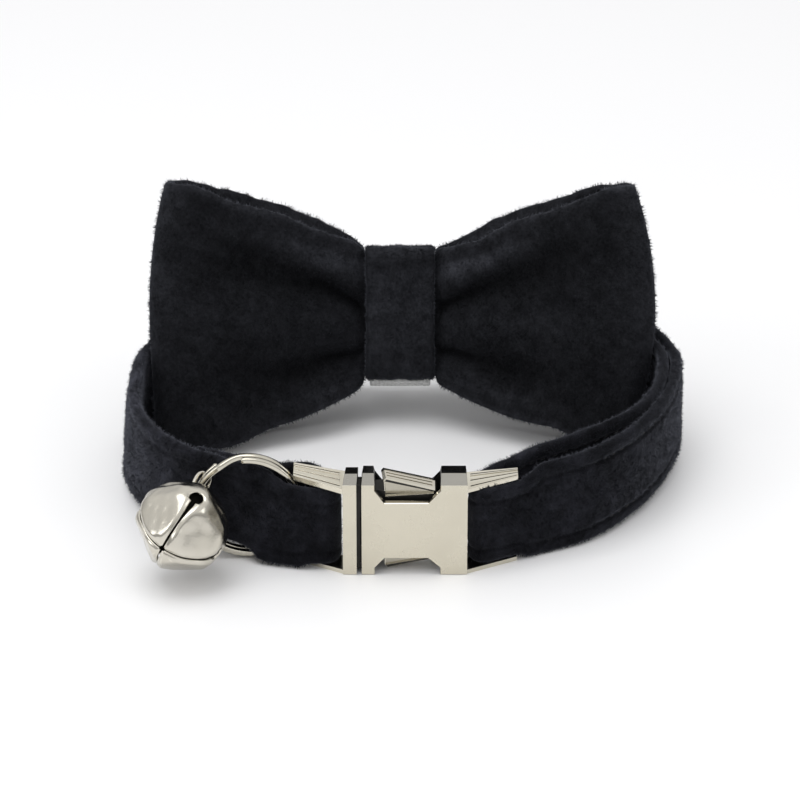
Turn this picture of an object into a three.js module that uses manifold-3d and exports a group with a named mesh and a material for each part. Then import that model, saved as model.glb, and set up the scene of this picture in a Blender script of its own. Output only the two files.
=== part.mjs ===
// A small velvet pet collar, fastened and stood on its edge: a flat strap sewn round the two halves
// of a metal side release buckle, a jingle bell on a split ring, and a velvet bow tie at the back
// that an elastic loop holds to the strap. Millimetres, +Z up, the buckle faces -Y.

import * as THREE from "three";
import { mergeVertices } from "three/addons/utils/BufferGeometryUtils.js";
import Module from "manifold-3d";

const wasm = await Module();
wasm.setup();

// ---------------------------------------------------------------- driving dimensions

const GAP = 0.3; // clearance between pieces that touch

const STRAP_WIDTH = 15;
const STRAP_THICK = 1.7;

const BUCKLE_TALL = 14.5;
const SOCKET_DEEP = 7;
const TONGUE_DEEP = 6.5;
const BEVEL = 0.4; // fall of the front part of the buckle's top faces

const SOCKET_LEFT = -5.7;
const SOCKET_RIGHT = 10;
const BAR_LEFT = -8.5;
const BAR_RIGHT = -6.45;

const BELL_RADIUS = 7.1;
const BELL_WALL = 0.55;

const SPLIT_RING_RADIUS = 7.75; // to the middle of the wire
const SPLIT_RING_WIRE = { radial: 0.9, axial: 1.05 };

const BOW_LEAN = THREE.MathUtils.degToRad(16); // the bow tie leans back on the strap
const BOW_PANEL = 1.4;
const KNOT_WIDE = 11.4;
const KNOT_TALL = 21.6;
const KNOT_DROP = 0.3; // its middle sits this far below the bow's
const KNOT_DEEP = 7;
const KNOT_WALL = 1.5;

const ELASTIC_WIDE = 10;
const ELASTIC_THICK = 0.9;

// ---------------------------------------------------------------- finishes

const velvet = (colour) => new THREE.MeshStandardMaterial({ color: colour, roughness: 0.95, metalness: 0 });
const nickel = (colour, roughness) => new THREE.MeshStandardMaterial({ color: colour, roughness, metalness: 1 });
const elastic = new THREE.MeshStandardMaterial({ color: 0xf0eee8, roughness: 0.85, metalness: 0 });

// ---------------------------------------------------------------- helpers

const flat = (x, y) => new THREE.Vector2(x, y);
const point = (x, y, z) => new THREE.Vector3(x, y, z);
const mix = THREE.MathUtils.lerp;
const ease = THREE.MathUtils.smoothstep;

function triangleVolume(position, a, b, c) {
  const [p, q, r] = [a, b, c].map((i) => new THREE.Vector3().fromBufferAttribute(position, i));
  return p.dot(q.cross(r)) / 6;
}

function facedOutward(positions, index) {
  const geometry = new THREE.BufferGeometry();
  geometry.setAttribute("position", new THREE.Float32BufferAttribute(positions, 3));
  const position = geometry.getAttribute("position");
  let volume = 0;
  for (let i = 0; i < index.length; i += 3) {
    volume += triangleVolume(position, index[i], index[i + 1], index[i + 2]);
  }
  geometry.setIndex(volume > 0 ? index : index.slice().reverse());
  geometry.computeVertexNormals();
  return geometry;
}

// Joins a row of sections, each with the same number of points, into one closed body. A row that
// closes on itself makes a band, and one that doesn't is capped at both ends.
function skin(sections, closed) {
  const count = sections[0].length;
  const positions = sections.flat().flatMap((p) => [p.x, p.y, p.z]);
  const index = [];
  const spans = closed ? sections.length : sections.length - 1;
  for (let i = 0; i < spans; i += 1) {
    const here = i * count;
    const next = ((i + 1) % sections.length) * count;
    for (let j = 0; j < count; j += 1) {
      const k = (j + 1) % count;
      index.push(here + j, next + j, next + k, here + j, next + k, here + k);
    }
  }
  if (!closed) {
    const last = (sections.length - 1) * count;
    for (let j = 1; j < count - 1; j += 1) {
      index.push(0, j, j + 1);
      index.push(last, last + j + 1, last + j);
    }
  }
  return facedOutward(positions, index);
}

// A rounded rectangle as points (across, along), used as the section of cloth and wire.
function roundedSection(across, along, radius, steps) {
  const points = [];
  const corners = [[1, 1, 0], [-1, 1, 1], [-1, -1, 2], [1, -1, 3]];
  for (const [sideX, sideY, turn] of corners) {
    for (let i = 0; i <= steps; i += 1) {
      const angle = (turn + i / steps) * (Math.PI / 2);
      points.push(flat(
        sideX * (across / 2 - radius) + radius * Math.cos(angle),
        sideY * (along / 2 - radius) + radius * Math.sin(angle),
      ));
    }
  }
  return points;
}

function solid(geometry) {
  const bare = geometry.clone();
  bare.deleteAttribute("normal");
  bare.deleteAttribute("uv");
  const merged = mergeVertices(bare, 1e-4);
  const vertProperties = new Float32Array(merged.getAttribute("position").array);
  const triVerts = new Uint32Array(merged.index.array);
  return new wasm.Manifold(new wasm.Mesh({ numProp: 3, vertProperties, triVerts }));
}

function geometryOf(manifold) {
  const mesh = manifold.getMesh();
  const geometry = new THREE.BufferGeometry();
  geometry.setAttribute("position", new THREE.Float32BufferAttribute(mesh.vertProperties, 3));
  geometry.setIndex(Array.from(mesh.triVerts));
  geometry.computeVertexNormals();
  return geometry;
}

const join = (...geometries) => geometryOf(geometries.map(solid).reduce((a, b) => a.add(b)));
const cut = (geometry, ...tools) => geometryOf(tools.map(solid).reduce((a, b) => a.subtract(b), solid(geometry)));

// A block from its lowest and highest corners.
function block(x0, x1, y0, y1, z0, z1) {
  const geometry = new THREE.BoxGeometry(x1 - x0, y1 - y0, z1 - z0);
  return geometry.translate((x0 + x1) / 2, (y0 + y1) / 2, (z0 + z1) / 2);
}

// An outline of (x, z) points, given thickness from y0 to y1.
function plate(outline, y0, y1) {
  const shape = new THREE.Shape(outline.map(([x, z]) => flat(x, z)));
  const geometry = new THREE.ExtrudeGeometry(shape, { depth: y1 - y0, bevelEnabled: false });
  return geometry.rotateX(Math.PI / 2).translate(0, y1, 0);
}

// An outline of (x, y) points, given height from z0 to z1.
function slab(outline, z0, z1) {
  const shape = new THREE.Shape(outline.map(([x, y]) => flat(x, y)));
  const geometry = new THREE.ExtrudeGeometry(shape, { depth: z1 - z0, bevelEnabled: false });
  return geometry.translate(0, 0, z0);
}

// An outline of (y, z) points, given width from x0 to x1.
function prism(outline, x0, x1) {
  const shape = new THREE.Shape(outline.map(([y, z]) => flat(y, z)));
  const geometry = new THREE.ExtrudeGeometry(shape, { depth: x1 - x0, bevelEnabled: false });
  return geometry.rotateX(Math.PI / 2).rotateZ(Math.PI / 2).translate(x0, 0, 0);
}

// A round pin along Y.
function pin(x, z, radius, y0, y1, sides) {
  const geometry = new THREE.CylinderGeometry(radius, radius, y1 - y0, sides);
  return geometry.translate(x, (y0 + y1) / 2, z);
}

const mirrored = (outline) => outline.map(([x, z]) => [x, BUCKLE_TALL - z]).reverse();

function named(name, geometry, material) {
  const mesh = new THREE.Mesh(geometry, material);
  mesh.name = name;
  return mesh;
}

// ---------------------------------------------------------------- buckle

// Each half ends in two arms, swept back to follow the neck, with a crossbar that the strap wraps.
const ARM = { thick: 1.2, rootFront: 0.4, tipFront: 4.7, groove: 0.35 };
const LEFT_ARM = { tip: -15.9, rootBack: 5.1, tipBack: 8.1 };
const RIGHT_ARM = { tip: 17.6, rootBack: 6.0, tipBack: 7.5 };
const CROSSBAR = { wide: 1.1, front: 6.2, back: 7.3, left: -13.6, right: 15.4 };

function armOutline(root, { tip, rootBack, tipBack }) {
  const overlap = Math.sign(root - tip) * 0.6;
  return [
    [root + overlap, ARM.rootFront],
    [root, ARM.rootFront],
    [tip, ARM.tipFront],
    [tip, tipBack],
    [root, rootBack],
    [root + overlap, rootBack],
  ];
}

// The channel pressed along the outer face of an arm, short of its root.
function grooveOutline(root, { tip, rootBack, tipBack }) {
  const side = Math.sign(tip - root);
  const along = (t, front, back) => [mix(root, tip, t), mix(front, back, t)];
  return [
    along(0.08, ARM.rootFront + 0.9, ARM.tipFront + 0.9),
    [tip + side, ARM.tipFront + 1.4],
    [tip + side, tipBack - 0.5],
    along(0.08, rootBack - 0.6, tipBack - 0.6),
  ];
}

function arms(root, arm) {
  const top = BUCKLE_TALL;
  const deep = ARM.groove;
  const upper = cut(slab(armOutline(root, arm), top - ARM.thick, top), slab(grooveOutline(root, arm), top - deep, top + 1));
  const lower = cut(slab(armOutline(root, arm), 0, ARM.thick), slab(grooveOutline(root, arm), -1, deep));
  const start = arm.tip < 0 ? CROSSBAR.left : CROSSBAR.right;
  const bar = block(start, start + CROSSBAR.wide, CROSSBAR.front, CROSSBAR.back, ARM.thick / 2, top - ARM.thick / 2);
  return [upper, lower, bar];
}

// The front half of the top face falls away towards the front plate.
function bodyProfile(deep) {
  const edge = 0.15;
  return [
    [0, edge],
    [edge, 0],
    [deep, 0],
    [deep, BUCKLE_TALL],
    [deep * 0.5, BUCKLE_TALL],
    [edge, BUCKLE_TALL - BEVEL],
    [0, BUCKLE_TALL - BEVEL - edge],
  ];
}

const NOTCH = { left: -3.75, right: 6.0, floorLeft: -2.3, floorRight: 4.2, shelf: 13.3, floor: 11.7 };
const SOCKET_WALL = 0.9;

function notchOutline() {
  const past = BUCKLE_TALL + 1;
  return [
    [NOTCH.left, past],
    [NOTCH.left, NOTCH.shelf],
    [NOTCH.floorLeft, NOTCH.floor],
    [NOTCH.floorRight, NOTCH.floor],
    [NOTCH.right, NOTCH.shelf],
    [NOTCH.right, past],
  ];
}

// The socket is a flat box open to the left, with a notch in each edge for the levers.
function buckleSocket() {
  const body = join(prism(bodyProfile(SOCKET_DEEP), SOCKET_LEFT, SOCKET_RIGHT), ...arms(SOCKET_RIGHT, RIGHT_ARM));
  const hollow = block(SOCKET_LEFT - 1, NOTCH.right, SOCKET_WALL, SOCKET_DEEP - SOCKET_WALL, 1.2, BUCKLE_TALL - 1.2);
  return cut(body, hollow, plate(notchOutline(), -1, SOCKET_DEEP + 1), plate(mirrored(notchOutline()), -1, SOCKET_DEEP + 1));
}

const PIVOT = { x: -6.15, z: 11.55, pin: 0.5, bore: 0.8, eye: 1.35 };
const LEVER = { front: 1.8, back: 5.3 };
const LUG = { right: -4.7, low: 10.0, high: 12.95, front: 1.2, back: 5.55, wall: 0.25 };

// The tongue's bar is hollow behind its front plate, and its lugs carry the two lever pins.
function buckleTongue() {
  const body = join(prism(bodyProfile(TONGUE_DEEP), BAR_LEFT, BAR_RIGHT), ...arms(BAR_LEFT, LEFT_ARM));
  const pocket = block(BAR_LEFT + 0.75, BAR_RIGHT + 1, LUG.front + 0.1, LUG.back + 0.1, 1.2, BUCKLE_TALL - 1.2);
  const pieces = [cut(body, pocket)];
  for (const flip of [(z) => z, (z) => BUCKLE_TALL - z]) {
    const [z0, z1] = [flip(LUG.low), flip(LUG.high)].sort((a, b) => a - b);
    pieces.push(block(BAR_RIGHT - 1, LUG.right, LUG.front, LUG.front + LUG.wall, z0, z1));
    pieces.push(block(BAR_RIGHT - 1, LUG.right, LUG.back, LUG.back + LUG.wall, z0, z1));
    pieces.push(pin(PIVOT.x, flip(PIVOT.z), PIVOT.pin, LUG.front + 0.1, LUG.back + 0.1, 16));
  }
  return join(...pieces);
}

// A release lever: an eye on its pin, a neck under the socket's post, and a barb in the notch whose
// square shoulder faces the post and whose outer edge falls towards the closed end.
function lever(flip) {
  const body = [
    [PIVOT.x, PIVOT.z - 1.1],
    [PIVOT.x, 12.75],
    [NOTCH.left + 0.55, 12.75],
    [NOTCH.left + 1.15, 13.0],
    [NOTCH.left + 1.15, 14.0],
    [NOTCH.left + 1.55, 14.3],
    [4.6, 12.75],
    [4.9, 12.4],
    [4.9, 10.6],
    [4.5, 10.3],
  ];
  const outline = flip ? mirrored(body) : body;
  const z = flip ? BUCKLE_TALL - PIVOT.z : PIVOT.z;
  const eye = pin(PIVOT.x, z, PIVOT.eye, LEVER.front, LEVER.back, 20);
  return cut(join(plate(outline, LEVER.front, LEVER.back), eye), pin(PIVOT.x, z, PIVOT.bore, 0, SOCKET_DEEP, 16));
}

// ---------------------------------------------------------------- strap

// The outer layer's middle line, from the socket's crossbar round the back to the tongue's.
// in: how far the upper edge leans in, low and high: the edges above the loop's plane.
const ROUTE = [
  { x: 16.6, y: 4.9, in: 0.0, low: 1.6, high: 12.9 },
  { x: 18.2, y: 5.6, in: 0.0, low: 1.5, high: 13.0 },
  { x: 21.3, y: 7.2, in: 0.0, low: 0.1, high: 15.0 },
  { x: 28.2, y: 11.0, in: 0.0, low: 0.1, high: 15.1 },
  { x: 34.9, y: 18.0, in: -0.2, low: 0.1, high: 15.1 },
  { x: 40.8, y: 28.6, in: -0.2, low: 0.1, high: 15.1 },
  { x: 43.6, y: 38.2, in: 0.2, low: 0.2, high: 15.0 },
  { x: 43.7, y: 46.4, in: 0.3, low: 0.3, high: 14.7 },
  { x: 38.2, y: 57.0, in: 1.0, low: 0.3, high: 15.3 },
  { x: 27.6, y: 62.8, in: 1.2, low: 0.3, high: 15.3 },
  { x: 14.4, y: 65.6, in: 0.8, low: 0.3, high: 15.3 },
  { x: 0.0, y: 66.2, in: 0.6, low: 0.3, high: 15.3 },
  { x: -14.4, y: 65.2, in: 0.8, low: 0.3, high: 15.3 },
  { x: -27.2, y: 61.2, in: 1.2, low: 0.2, high: 15.2 },
  { x: -36.4, y: 54.0, in: 1.6, low: 0.1, high: 15.1 },
  { x: -41.4, y: 46.4, in: 1.2, low: 0.1, high: 14.3 },
  { x: -42.2, y: 36.5, in: 1.4, low: 0.1, high: 14.7 },
  { x: -41.7, y: 28.0, in: 1.2, low: 0.1, high: 15.1 },
  { x: -38.2, y: 19.2, in: 0.4, low: 0.1, high: 15.1 },
  { x: -32.9, y: 12.6, in: 0.6, low: 0.1, high: 15.1 },
  { x: -27.1, y: 8.9, in: 0.6, low: 2.2, high: 15.1 },
  { x: -23.2, y: 6.5, in: 1.2, low: 2.0, high: 15.0 },
  { x: -21.7, y: 5.7, in: 2.2, low: 2.0, high: 14.8 },
  { x: -20.2, y: 4.85, in: 2.6, low: 0.6, high: 14.4 },
  { x: -17.2, y: 3.7, in: 1.4, low: 0.3, high: 12.9 },
  { x: -15.0, y: 3.0, in: 1.4, low: 0.4, high: 12.9 },
];
const LOOP_RISE = { slope: 0.05, from: 6 }; // the loop's plane climbs towards the back

// The middle line of the fold in each half's slot, from the outer layer round to the inner one.
const RIGHT_FOLD = [
  { x: 14.6, y: 3.9 },
  { x: 12.3, y: 3.2 },
  { x: 11.3, y: 4.2 },
  { x: 11.3, y: 6.6 },
  { x: 12.1, y: 8.3 },
  { x: 13.8, y: 9.1 },
];
const LEFT_FOLD = [
  { x: -12.6, y: 2.6 },
  { x: -10.6, y: 2.5 },
  { x: -9.75, y: 3.6 },
  { x: -9.75, y: 6.6 },
  { x: -10.5, y: 8.2 },
  { x: -12.0, y: 9.0 },
];
const SLOT = { low: 1.5, high: 13.0 }; // room between the arms

const LAYER_STEP = STRAP_THICK + GAP + 0.05; // between the middles of two layers that lie together

// The inner layer passes behind the crossbar and stands off the outer one until the two meet.
// at: length from the crossbar, away: how far the two layers' middles are apart.
const RIGHT_TAIL = {
  length: 79,
  low: 0.1,
  high: 14.3,
  spread: [
    { at: 0, away: 4.3 },
    { at: 4, away: 4.8 },
    { at: 8, away: 5.2 },
    { at: 13, away: 5.35 },
    { at: 18, away: 4.9 },
    { at: 22.5, away: 4.15 },
    { at: 27.5, away: 3.0 },
    { at: 32.5, away: 2.25 },
    { at: 37, away: LAYER_STEP },
  ],
};
const LEFT_TAIL = {
  length: 20.5,
  low: 1.8,
  high: 14.0,
  spread: [
    { at: 0, away: 6.6 },
    { at: 3, away: 5.9 },
    { at: 5.5, away: 5.0 },
    { at: 9, away: 4.1 },
    { at: 13, away: 3.6 },
    { at: 17, away: 3.2 },
    { at: 21, away: 2.8 },
  ],
};

function awayAt(spread, length) {
  const next = spread.findIndex((row) => row.at > length);
  if (next < 0) return spread[spread.length - 1].away;
  const [a, b] = [spread[next - 1], spread[next]];
  return mix(a.away, b.away, (length - a.at) / (b.at - a.at));
}

function strapCurve() {
  const line = new THREE.CatmullRomCurve3(ROUTE.map((row) => point(row.x, row.y, 0)), false, "centripetal");
  line.arcLengthDivisions = 2000;
  return line;
}

const curve = strapCurve();
const LOOP_LENGTH = curve.getLength();

// Everything that changes along the outer layer, at a length from the socket's crossbar.
function loopAt(length) {
  const u = THREE.MathUtils.clamp(length / LOOP_LENGTH, 0, 1);
  const t = curve.getUtoTmapping(u);
  const row = Math.min(Math.floor(t * (ROUTE.length - 1)), ROUTE.length - 2);
  const part = t * (ROUTE.length - 1) - row;
  const along = (key) => mix(ROUTE[row][key], ROUTE[row + 1][key], part);
  const tangent = curve.getTangentAt(u);
  return {
    middle: curve.getPointAt(u),
    inward: point(-tangent.y, tangent.x, 0),
    in: along("in"),
    low: along("low"),
    high: along("high"),
  };
}

const riseAt = (y) => LOOP_RISE.slope * Math.max(y - LOOP_RISE.from, 0);

// One section of strap: its middle in plan, the way its face looks, and its lean and edges.
function strapSection(middle, face, leanWay, { in: lean, low, high }) {
  const wide = high - low;
  return roundedSection(STRAP_THICK, wide, 0.6, 2).map((p) => {
    const height = p.y / wide + 0.5;
    const at = middle.clone().addScaledVector(face, p.x).addScaledVector(leanWay, lean * (height - 0.5));
    at.z = riseAt(middle.y) + low + height * wide;
    return at;
  });
}

// The inner layer lies behind the outer one, further off where the crossbar is between them.
function innerSection(length, fromBar, tail) {
  const at = loopAt(length);
  const middle = at.middle.clone().addScaledVector(at.inward, awayAt(tail.spread, fromBar));
  const low = mix(SLOT.low, Math.max(at.low, tail.low), ease(fromBar, 0, 3));
  const high = mix(tail.high, Math.max(at.high, 15), ease(fromBar, 0, 8));
  return strapSection(middle, at.inward.clone().negate(), at.inward, { in: at.in * ease(fromBar, 4, 20), low, high });
}

// The strap turns back on itself in a slot, narrowed to pass between the two arms, and widens again
// behind them.
function foldSections(fold, edge, end, endHigh) {
  const start = edge.middle;
  const line = new THREE.CatmullRomCurve3([start, ...fold.map((row) => point(row.x, row.y, 0)), end], false, "centripetal");
  const side = Math.sign(start.x);
  const steps = 16;
  const sections = [];
  for (let i = 1; i < steps; i += 1) {
    const tangent = line.getTangentAt(i / steps);
    const face = point(-side * tangent.y, side * tangent.x, 0).negate();
    const lean = mix(edge.in, 0, ease(i / steps, 0, 0.3));
    const low = mix(edge.low, SLOT.low, ease(i / steps, 0, 0.1));
    const high = mix(mix(edge.high, SLOT.high, ease(i / steps, 0, 0.3)), endHigh, ease(i / steps, 0.74, 1));
    sections.push(strapSection(line.getPointAt(i / steps), face, point(0, 1, 0), { in: lean, low, high }));
  }
  return sections;
}

const innerStart = (tail, length, fromBar) => {
  const at = loopAt(length);
  return at.middle.clone().addScaledVector(at.inward, awayAt(tail.spread, fromBar));
};

function strap() {
  const clear = 1.2; // the layers start this far from the crossbars' middles
  const sections = [];
  for (let length = RIGHT_TAIL.length; length > clear; length -= 2.4) {
    sections.push(innerSection(length, length, RIGHT_TAIL));
  }
  const rightStart = innerStart(RIGHT_TAIL, clear, clear);
  sections.push(...foldSections(RIGHT_FOLD, loopAt(0), rightStart, RIGHT_TAIL.high).reverse());
  const steps = 130;
  for (let i = 0; i <= steps; i += 1) {
    const at = loopAt(mix(clear / 2, LOOP_LENGTH - clear / 2, i / steps));
    sections.push(strapSection(at.middle, at.inward, at.inward, at));
  }
  const leftStart = innerStart(LEFT_TAIL, LOOP_LENGTH - clear, clear);
  sections.push(...foldSections(LEFT_FOLD, loopAt(LOOP_LENGTH), leftStart, LEFT_TAIL.high));
  for (let length = clear; length < LEFT_TAIL.length; length += 2) {
    sections.push(innerSection(LOOP_LENGTH - length, length, LEFT_TAIL));
  }
  return skin(sections, false);
}

// The slide that the strap's long tail is sewn to, out of sight behind the bow's right wing.
const SLIDE = { at: 75, wide: 4.4, wire: 1.1 };

function strapSlide() {
  const at = loopAt(SLIDE.at);
  const middle = at.middle.clone().addScaledVector(at.inward, LAYER_STEP / 2);
  const across = LAYER_STEP + STRAP_THICK + 4 * GAP + SLIDE.wire;
  const tall = STRAP_WIDTH + 3 * GAP + SLIDE.wire;
  const along = point(at.inward.y, -at.inward.x, 0);
  const ring = roundedSection(across, tall, 0.9, 2);
  const centre = riseAt(middle.y) + (at.low + at.high) / 2;
  const sections = ring.map((p, i) => {
    const before = ring[(i + ring.length - 1) % ring.length];
    const after = ring[(i + 1) % ring.length];
    const out = flat(after.y - before.y, before.x - after.x).normalize();
    return roundedSection(SLIDE.wire, SLIDE.wide, 0.3, 1).map((q) => {
      const reach = p.x + out.x * q.x;
      const height = p.y + out.y * q.x;
      const shift = reach + (at.in * height) / STRAP_WIDTH;
      const spot = middle.clone().addScaledVector(at.inward, shift).addScaledVector(along, q.y);
      spot.z = centre + height;
      return spot;
    });
  });
  return skin(sections, true);
}

// ---------------------------------------------------------------- split ring and bell

const SPLIT_RING = { x: -22.8, y: 6.3, z: 8.55, yaw: 0.02, turns: 1.92, cut: 1.68 };
const LINK_ANGLE = THREE.MathUtils.degToRad(150); // where the bell hangs on the ring

const ringAcross = point(Math.cos(SPLIT_RING.yaw), Math.sin(SPLIT_RING.yaw), 0);
const ringAxis = point(-Math.sin(SPLIT_RING.yaw), Math.cos(SPLIT_RING.yaw), 0);

function ringPoint(angle, radius, shift) {
  return point(SPLIT_RING.x, SPLIT_RING.y, SPLIT_RING.z)
    .addScaledVector(ringAcross, radius * Math.cos(angle))
    .addScaledVector(point(0, 0, 1), radius * Math.sin(angle))
    .addScaledVector(ringAxis, shift);
}

// Two flat turns of wire. The ends are cut where the wire steps from the front turn to the back.
function splitRing() {
  const half = (SPLIT_RING_WIRE.axial + 0.2) / 2;
  const section = roundedSection(SPLIT_RING_WIRE.radial, SPLIT_RING_WIRE.axial, 0.3, 1);
  const steps = 84;
  const sections = [];
  for (let i = 0; i <= steps; i += 1) {
    const turn = (SPLIT_RING.turns * i) / steps;
    const angle = SPLIT_RING.cut - turn * 2 * Math.PI;
    const shift = mix(-half, half, ease(turn, SPLIT_RING.turns - 1, 1));
    sections.push(section.map((p) => ringPoint(angle, SPLIT_RING_RADIUS + p.x, shift + p.y)));
  }
  return skin(sections, false);
}

const BELL_AXIS = point(0.5, 0.83, 0.24).normalize(); // away from the slits' crossing
const BELL_HANG = point(0.34, 0.88, 0.33).normalize(); // from the middle to the loop, which is bent over
const BELL_LOOP = { reach: 2.3, radius: 2.3, wire: 0.4, slack: 0.15 };
const BELL_SLIT = 0.6;

function bellCentre() {
  const link = ringPoint(LINK_ANGLE, SPLIT_RING_RADIUS, 0);
  return link.addScaledVector(BELL_HANG, -(BELL_RADIUS + BELL_LOOP.reach + BELL_LOOP.slack));
}

// The bell's own frame has the loop at +Z and the slits crossing at -Z.
function bellPlacement() {
  const slitWay = point(0.255, -0.528, 0.809);
  const side = slitWay.clone().addScaledVector(BELL_AXIS, -slitWay.dot(BELL_AXIS)).normalize();
  const other = BELL_AXIS.clone().cross(side);
  const frame = new THREE.Matrix4().makeBasis(side, other, BELL_AXIS);
  return frame.setPosition(bellCentre());
}

function bellBall(radius) {
  const profile = [];
  for (let i = 0; i <= 16; i += 1) {
    const angle = (Math.PI * i) / 16;
    profile.push(flat(i === 0 || i === 16 ? 0 : radius * Math.sin(angle), -radius * Math.cos(angle)));
  }
  return new THREE.LatheGeometry(profile, 28).rotateX(Math.PI / 2);
}

function bellShell() {
  const inner = BELL_RADIUS - BELL_WALL;
  const slot = block(-BELL_RADIUS - 1, BELL_RADIUS + 1, -BELL_SLIT / 2, BELL_SLIT / 2, -BELL_RADIUS - 1, 0.6);
  const tools = [bellBall(inner), slot, slot.clone().rotateZ(Math.PI / 2)];
  for (let quarter = 0; quarter < 4; quarter += 1) {
    const hole = new THREE.CylinderGeometry(1.1, 1.1, 3, 12).rotateZ(Math.PI / 2);
    tools.push(hole.translate(BELL_RADIUS, 0, 0.6).rotateZ((quarter * Math.PI) / 2));
  }
  return join(cut(bellBall(BELL_RADIUS), ...tools).applyMatrix4(bellPlacement()), bellLoop());
}

// The loop's hole faces along the split ring's wire, and its foot is sunk in the crown.
function bellLoop() {
  const wireWay = ringPoint(LINK_ANGLE + 0.01, 1, 0).sub(ringPoint(LINK_ANGLE, 1, 0));
  const facing = wireWay.addScaledVector(BELL_HANG, -wireWay.dot(BELL_HANG)).normalize();
  const frame = new THREE.Matrix4().makeBasis(BELL_HANG.clone().cross(facing), BELL_HANG, facing);
  frame.setPosition(bellCentre().addScaledVector(BELL_HANG, BELL_RADIUS + BELL_LOOP.reach));
  return new THREE.TorusGeometry(BELL_LOOP.radius, BELL_LOOP.wire, 8, 24).applyMatrix4(frame);
}

function bellPellet() {
  const radius = 1.8;
  const rest = bellCentre().add(point(0.4, 0, -(BELL_RADIUS - BELL_WALL - radius - 0.35)));
  return new THREE.SphereGeometry(radius, 12, 8).translate(rest.x, rest.y, rest.z);
}

// ---------------------------------------------------------------- bow tie

// The bow's own frame: a along the wings, b up, c forward, from the middle of the knot's front.
const BOW_AT = point(0, 53.5, 19.3);
const bowUp = point(0, Math.sin(BOW_LEAN), Math.cos(BOW_LEAN));
const bowForward = point(0, -Math.cos(BOW_LEAN), Math.sin(BOW_LEAN));

function inBow(a, b, c) {
  return BOW_AT.clone().add(point(a, 0, 0)).addScaledVector(bowUp, b).addScaledVector(bowForward, c);
}

// Half of each wing's height and how far its middle hangs below the knot's, where its front and back
// panels are, and the depth of its two pleats, by the distance out from the middle of the knot.
const WING = [
  { out: 0.0, half: [8.5, 8.5], drop: [0.3, 0.3], front: -2.6, back: -4.4, pleat: 0.0 },
  { out: 5.85, half: [8.7, 8.7], drop: [0.3, 0.3], front: -2.6, back: -4.4, pleat: 0.0 },
  { out: 6.7, half: [11.3, 10.9], drop: [0.8, 0.8], front: -2.0, back: -5.0, pleat: 0.6 },
  { out: 7.9, half: [12.6, 11.7], drop: [0.7, 0.9], front: -0.9, back: -5.6, pleat: 1.5 },
  { out: 11.5, half: [14.4, 13.4], drop: [0.6, 0.85], front: 1.3, back: -5.2, pleat: 2.1 },
  { out: 18.0, half: [17.05, 16.25], drop: [0.55, 0.55], front: 4.2, back: -3.0, pleat: 1.5 },
  { out: 25.5, half: [18.95, 18.25], drop: [0.35, 0.25], front: 6.7, back: -0.2, pleat: 0.6 },
  { out: 33.0, half: [20.35, 19.8], drop: [0.1, 0.05], front: 8.2, back: 2.6, pleat: 0.1 },
  { out: 38.3, half: [20.7, 20.2], drop: [0.0, 0.0], front: 8.2, back: 5.0, pleat: 0.0 },
];
const TIP = { out: [39.3, 40.1], half: [20.8, 20.3], forward: 6.8 };
const BARREL = [2.6, 3.3]; // the wing's end is this much longer at mid height than at its corners
const PLEAT = { upper: 0.42, lower: -0.5, spread: 0.19 };
const TIP_RISE = 1.3; // the wings' ends stand higher than the knot's middle
const FOOT = [1.4, 1.8]; // the wings' lower corners reach down to the ground

const wingOf = (a) => (a < 0 ? 0 : 1); // which column is the left wing's and which the right's

function wingRow(row, side, panel) {
  const wing = wingOf(side);
  const a = side * Math.min(row.out, TIP.out[wing] - 1.2);
  return { a, half: row.half[wing], drop: row.drop[wing], c: row[panel], pleat: row.pleat };
}

function tipRow(side) {
  const wing = wingOf(side);
  return { a: side * TIP.out[wing], half: TIP.half[wing], drop: 0, c: TIP.forward, pleat: 0 };
}

// The band's closed route: right front, right tip, right back, left back, left tip, left front.
function bowRoute() {
  const rows = [];
  rows.push(...WING.map((row) => wingRow(row, 1, "front")));
  rows.push(tipRow(1));
  rows.push(...WING.slice().reverse().map((row) => wingRow(row, 1, "back")));
  rows.push(...WING.slice(1).map((row) => wingRow(row, -1, "back")));
  rows.push(tipRow(-1));
  rows.push(...WING.slice(1).reverse().map((row) => wingRow(row, -1, "front")));
  return rows;
}

function bowBand() {
  const rows = bowRoute();
  const loops = (key) => new THREE.CatmullRomCurve3(rows.map((row) => point(row.a, row.c, row[key])), true, "centripetal");
  const heights = loops("half");
  const drops = loops("drop");
  const pleats = loops("pleat");
  const steps = 96;
  const sections = [];
  for (let i = 0; i < steps; i += 1) {
    const at = heights.getPoint(i / steps);
    const pleat = pleats.getPoint(i / steps).z;
    const tangent = heights.getTangent(i / steps);
    const across = flat(tangent.y, -tangent.x).normalize();
    const ends = ease(Math.abs(at.x), 24, 40);
    const rise = TIP_RISE * ease(Math.abs(at.x), 5, 40) - drops.getPoint(i / steps).z;
    sections.push(bandSection(at, across, pleat, ends, rise));
  }
  return skin(sections, true);
}

function bandSection(at, across, pleat, ends, rise) {
  const levels = 12;
  const points = [];
  for (const side of [1, -1]) {
    for (let i = 0; i <= levels; i += 1) {
      const v = side * mix(-1, 1, i / levels);
      const edge = 1 - 0.45 * ease(Math.abs(v), 0.9, 1);
      const fold = Math.exp(-(((v - PLEAT.upper) / PLEAT.spread) ** 2)) + Math.exp(-(((v - PLEAT.lower) / PLEAT.spread) ** 2));
      const thick = (side * BOW_PANEL * edge) / 2;
      const a = at.x * (1 - (ends * BARREL[wingOf(at.x)] * v * v) / 40) + across.x * thick;
      const c = at.y + across.y * thick - pleat * fold;
      const foot = FOOT[wingOf(at.x)] * ease(Math.abs(at.x), 24, 32) * ease(-v, 0.5, 1);
      points.push(inBow(a, v * at.z + rise - foot, c));
    }
  }
  return points;
}

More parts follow.
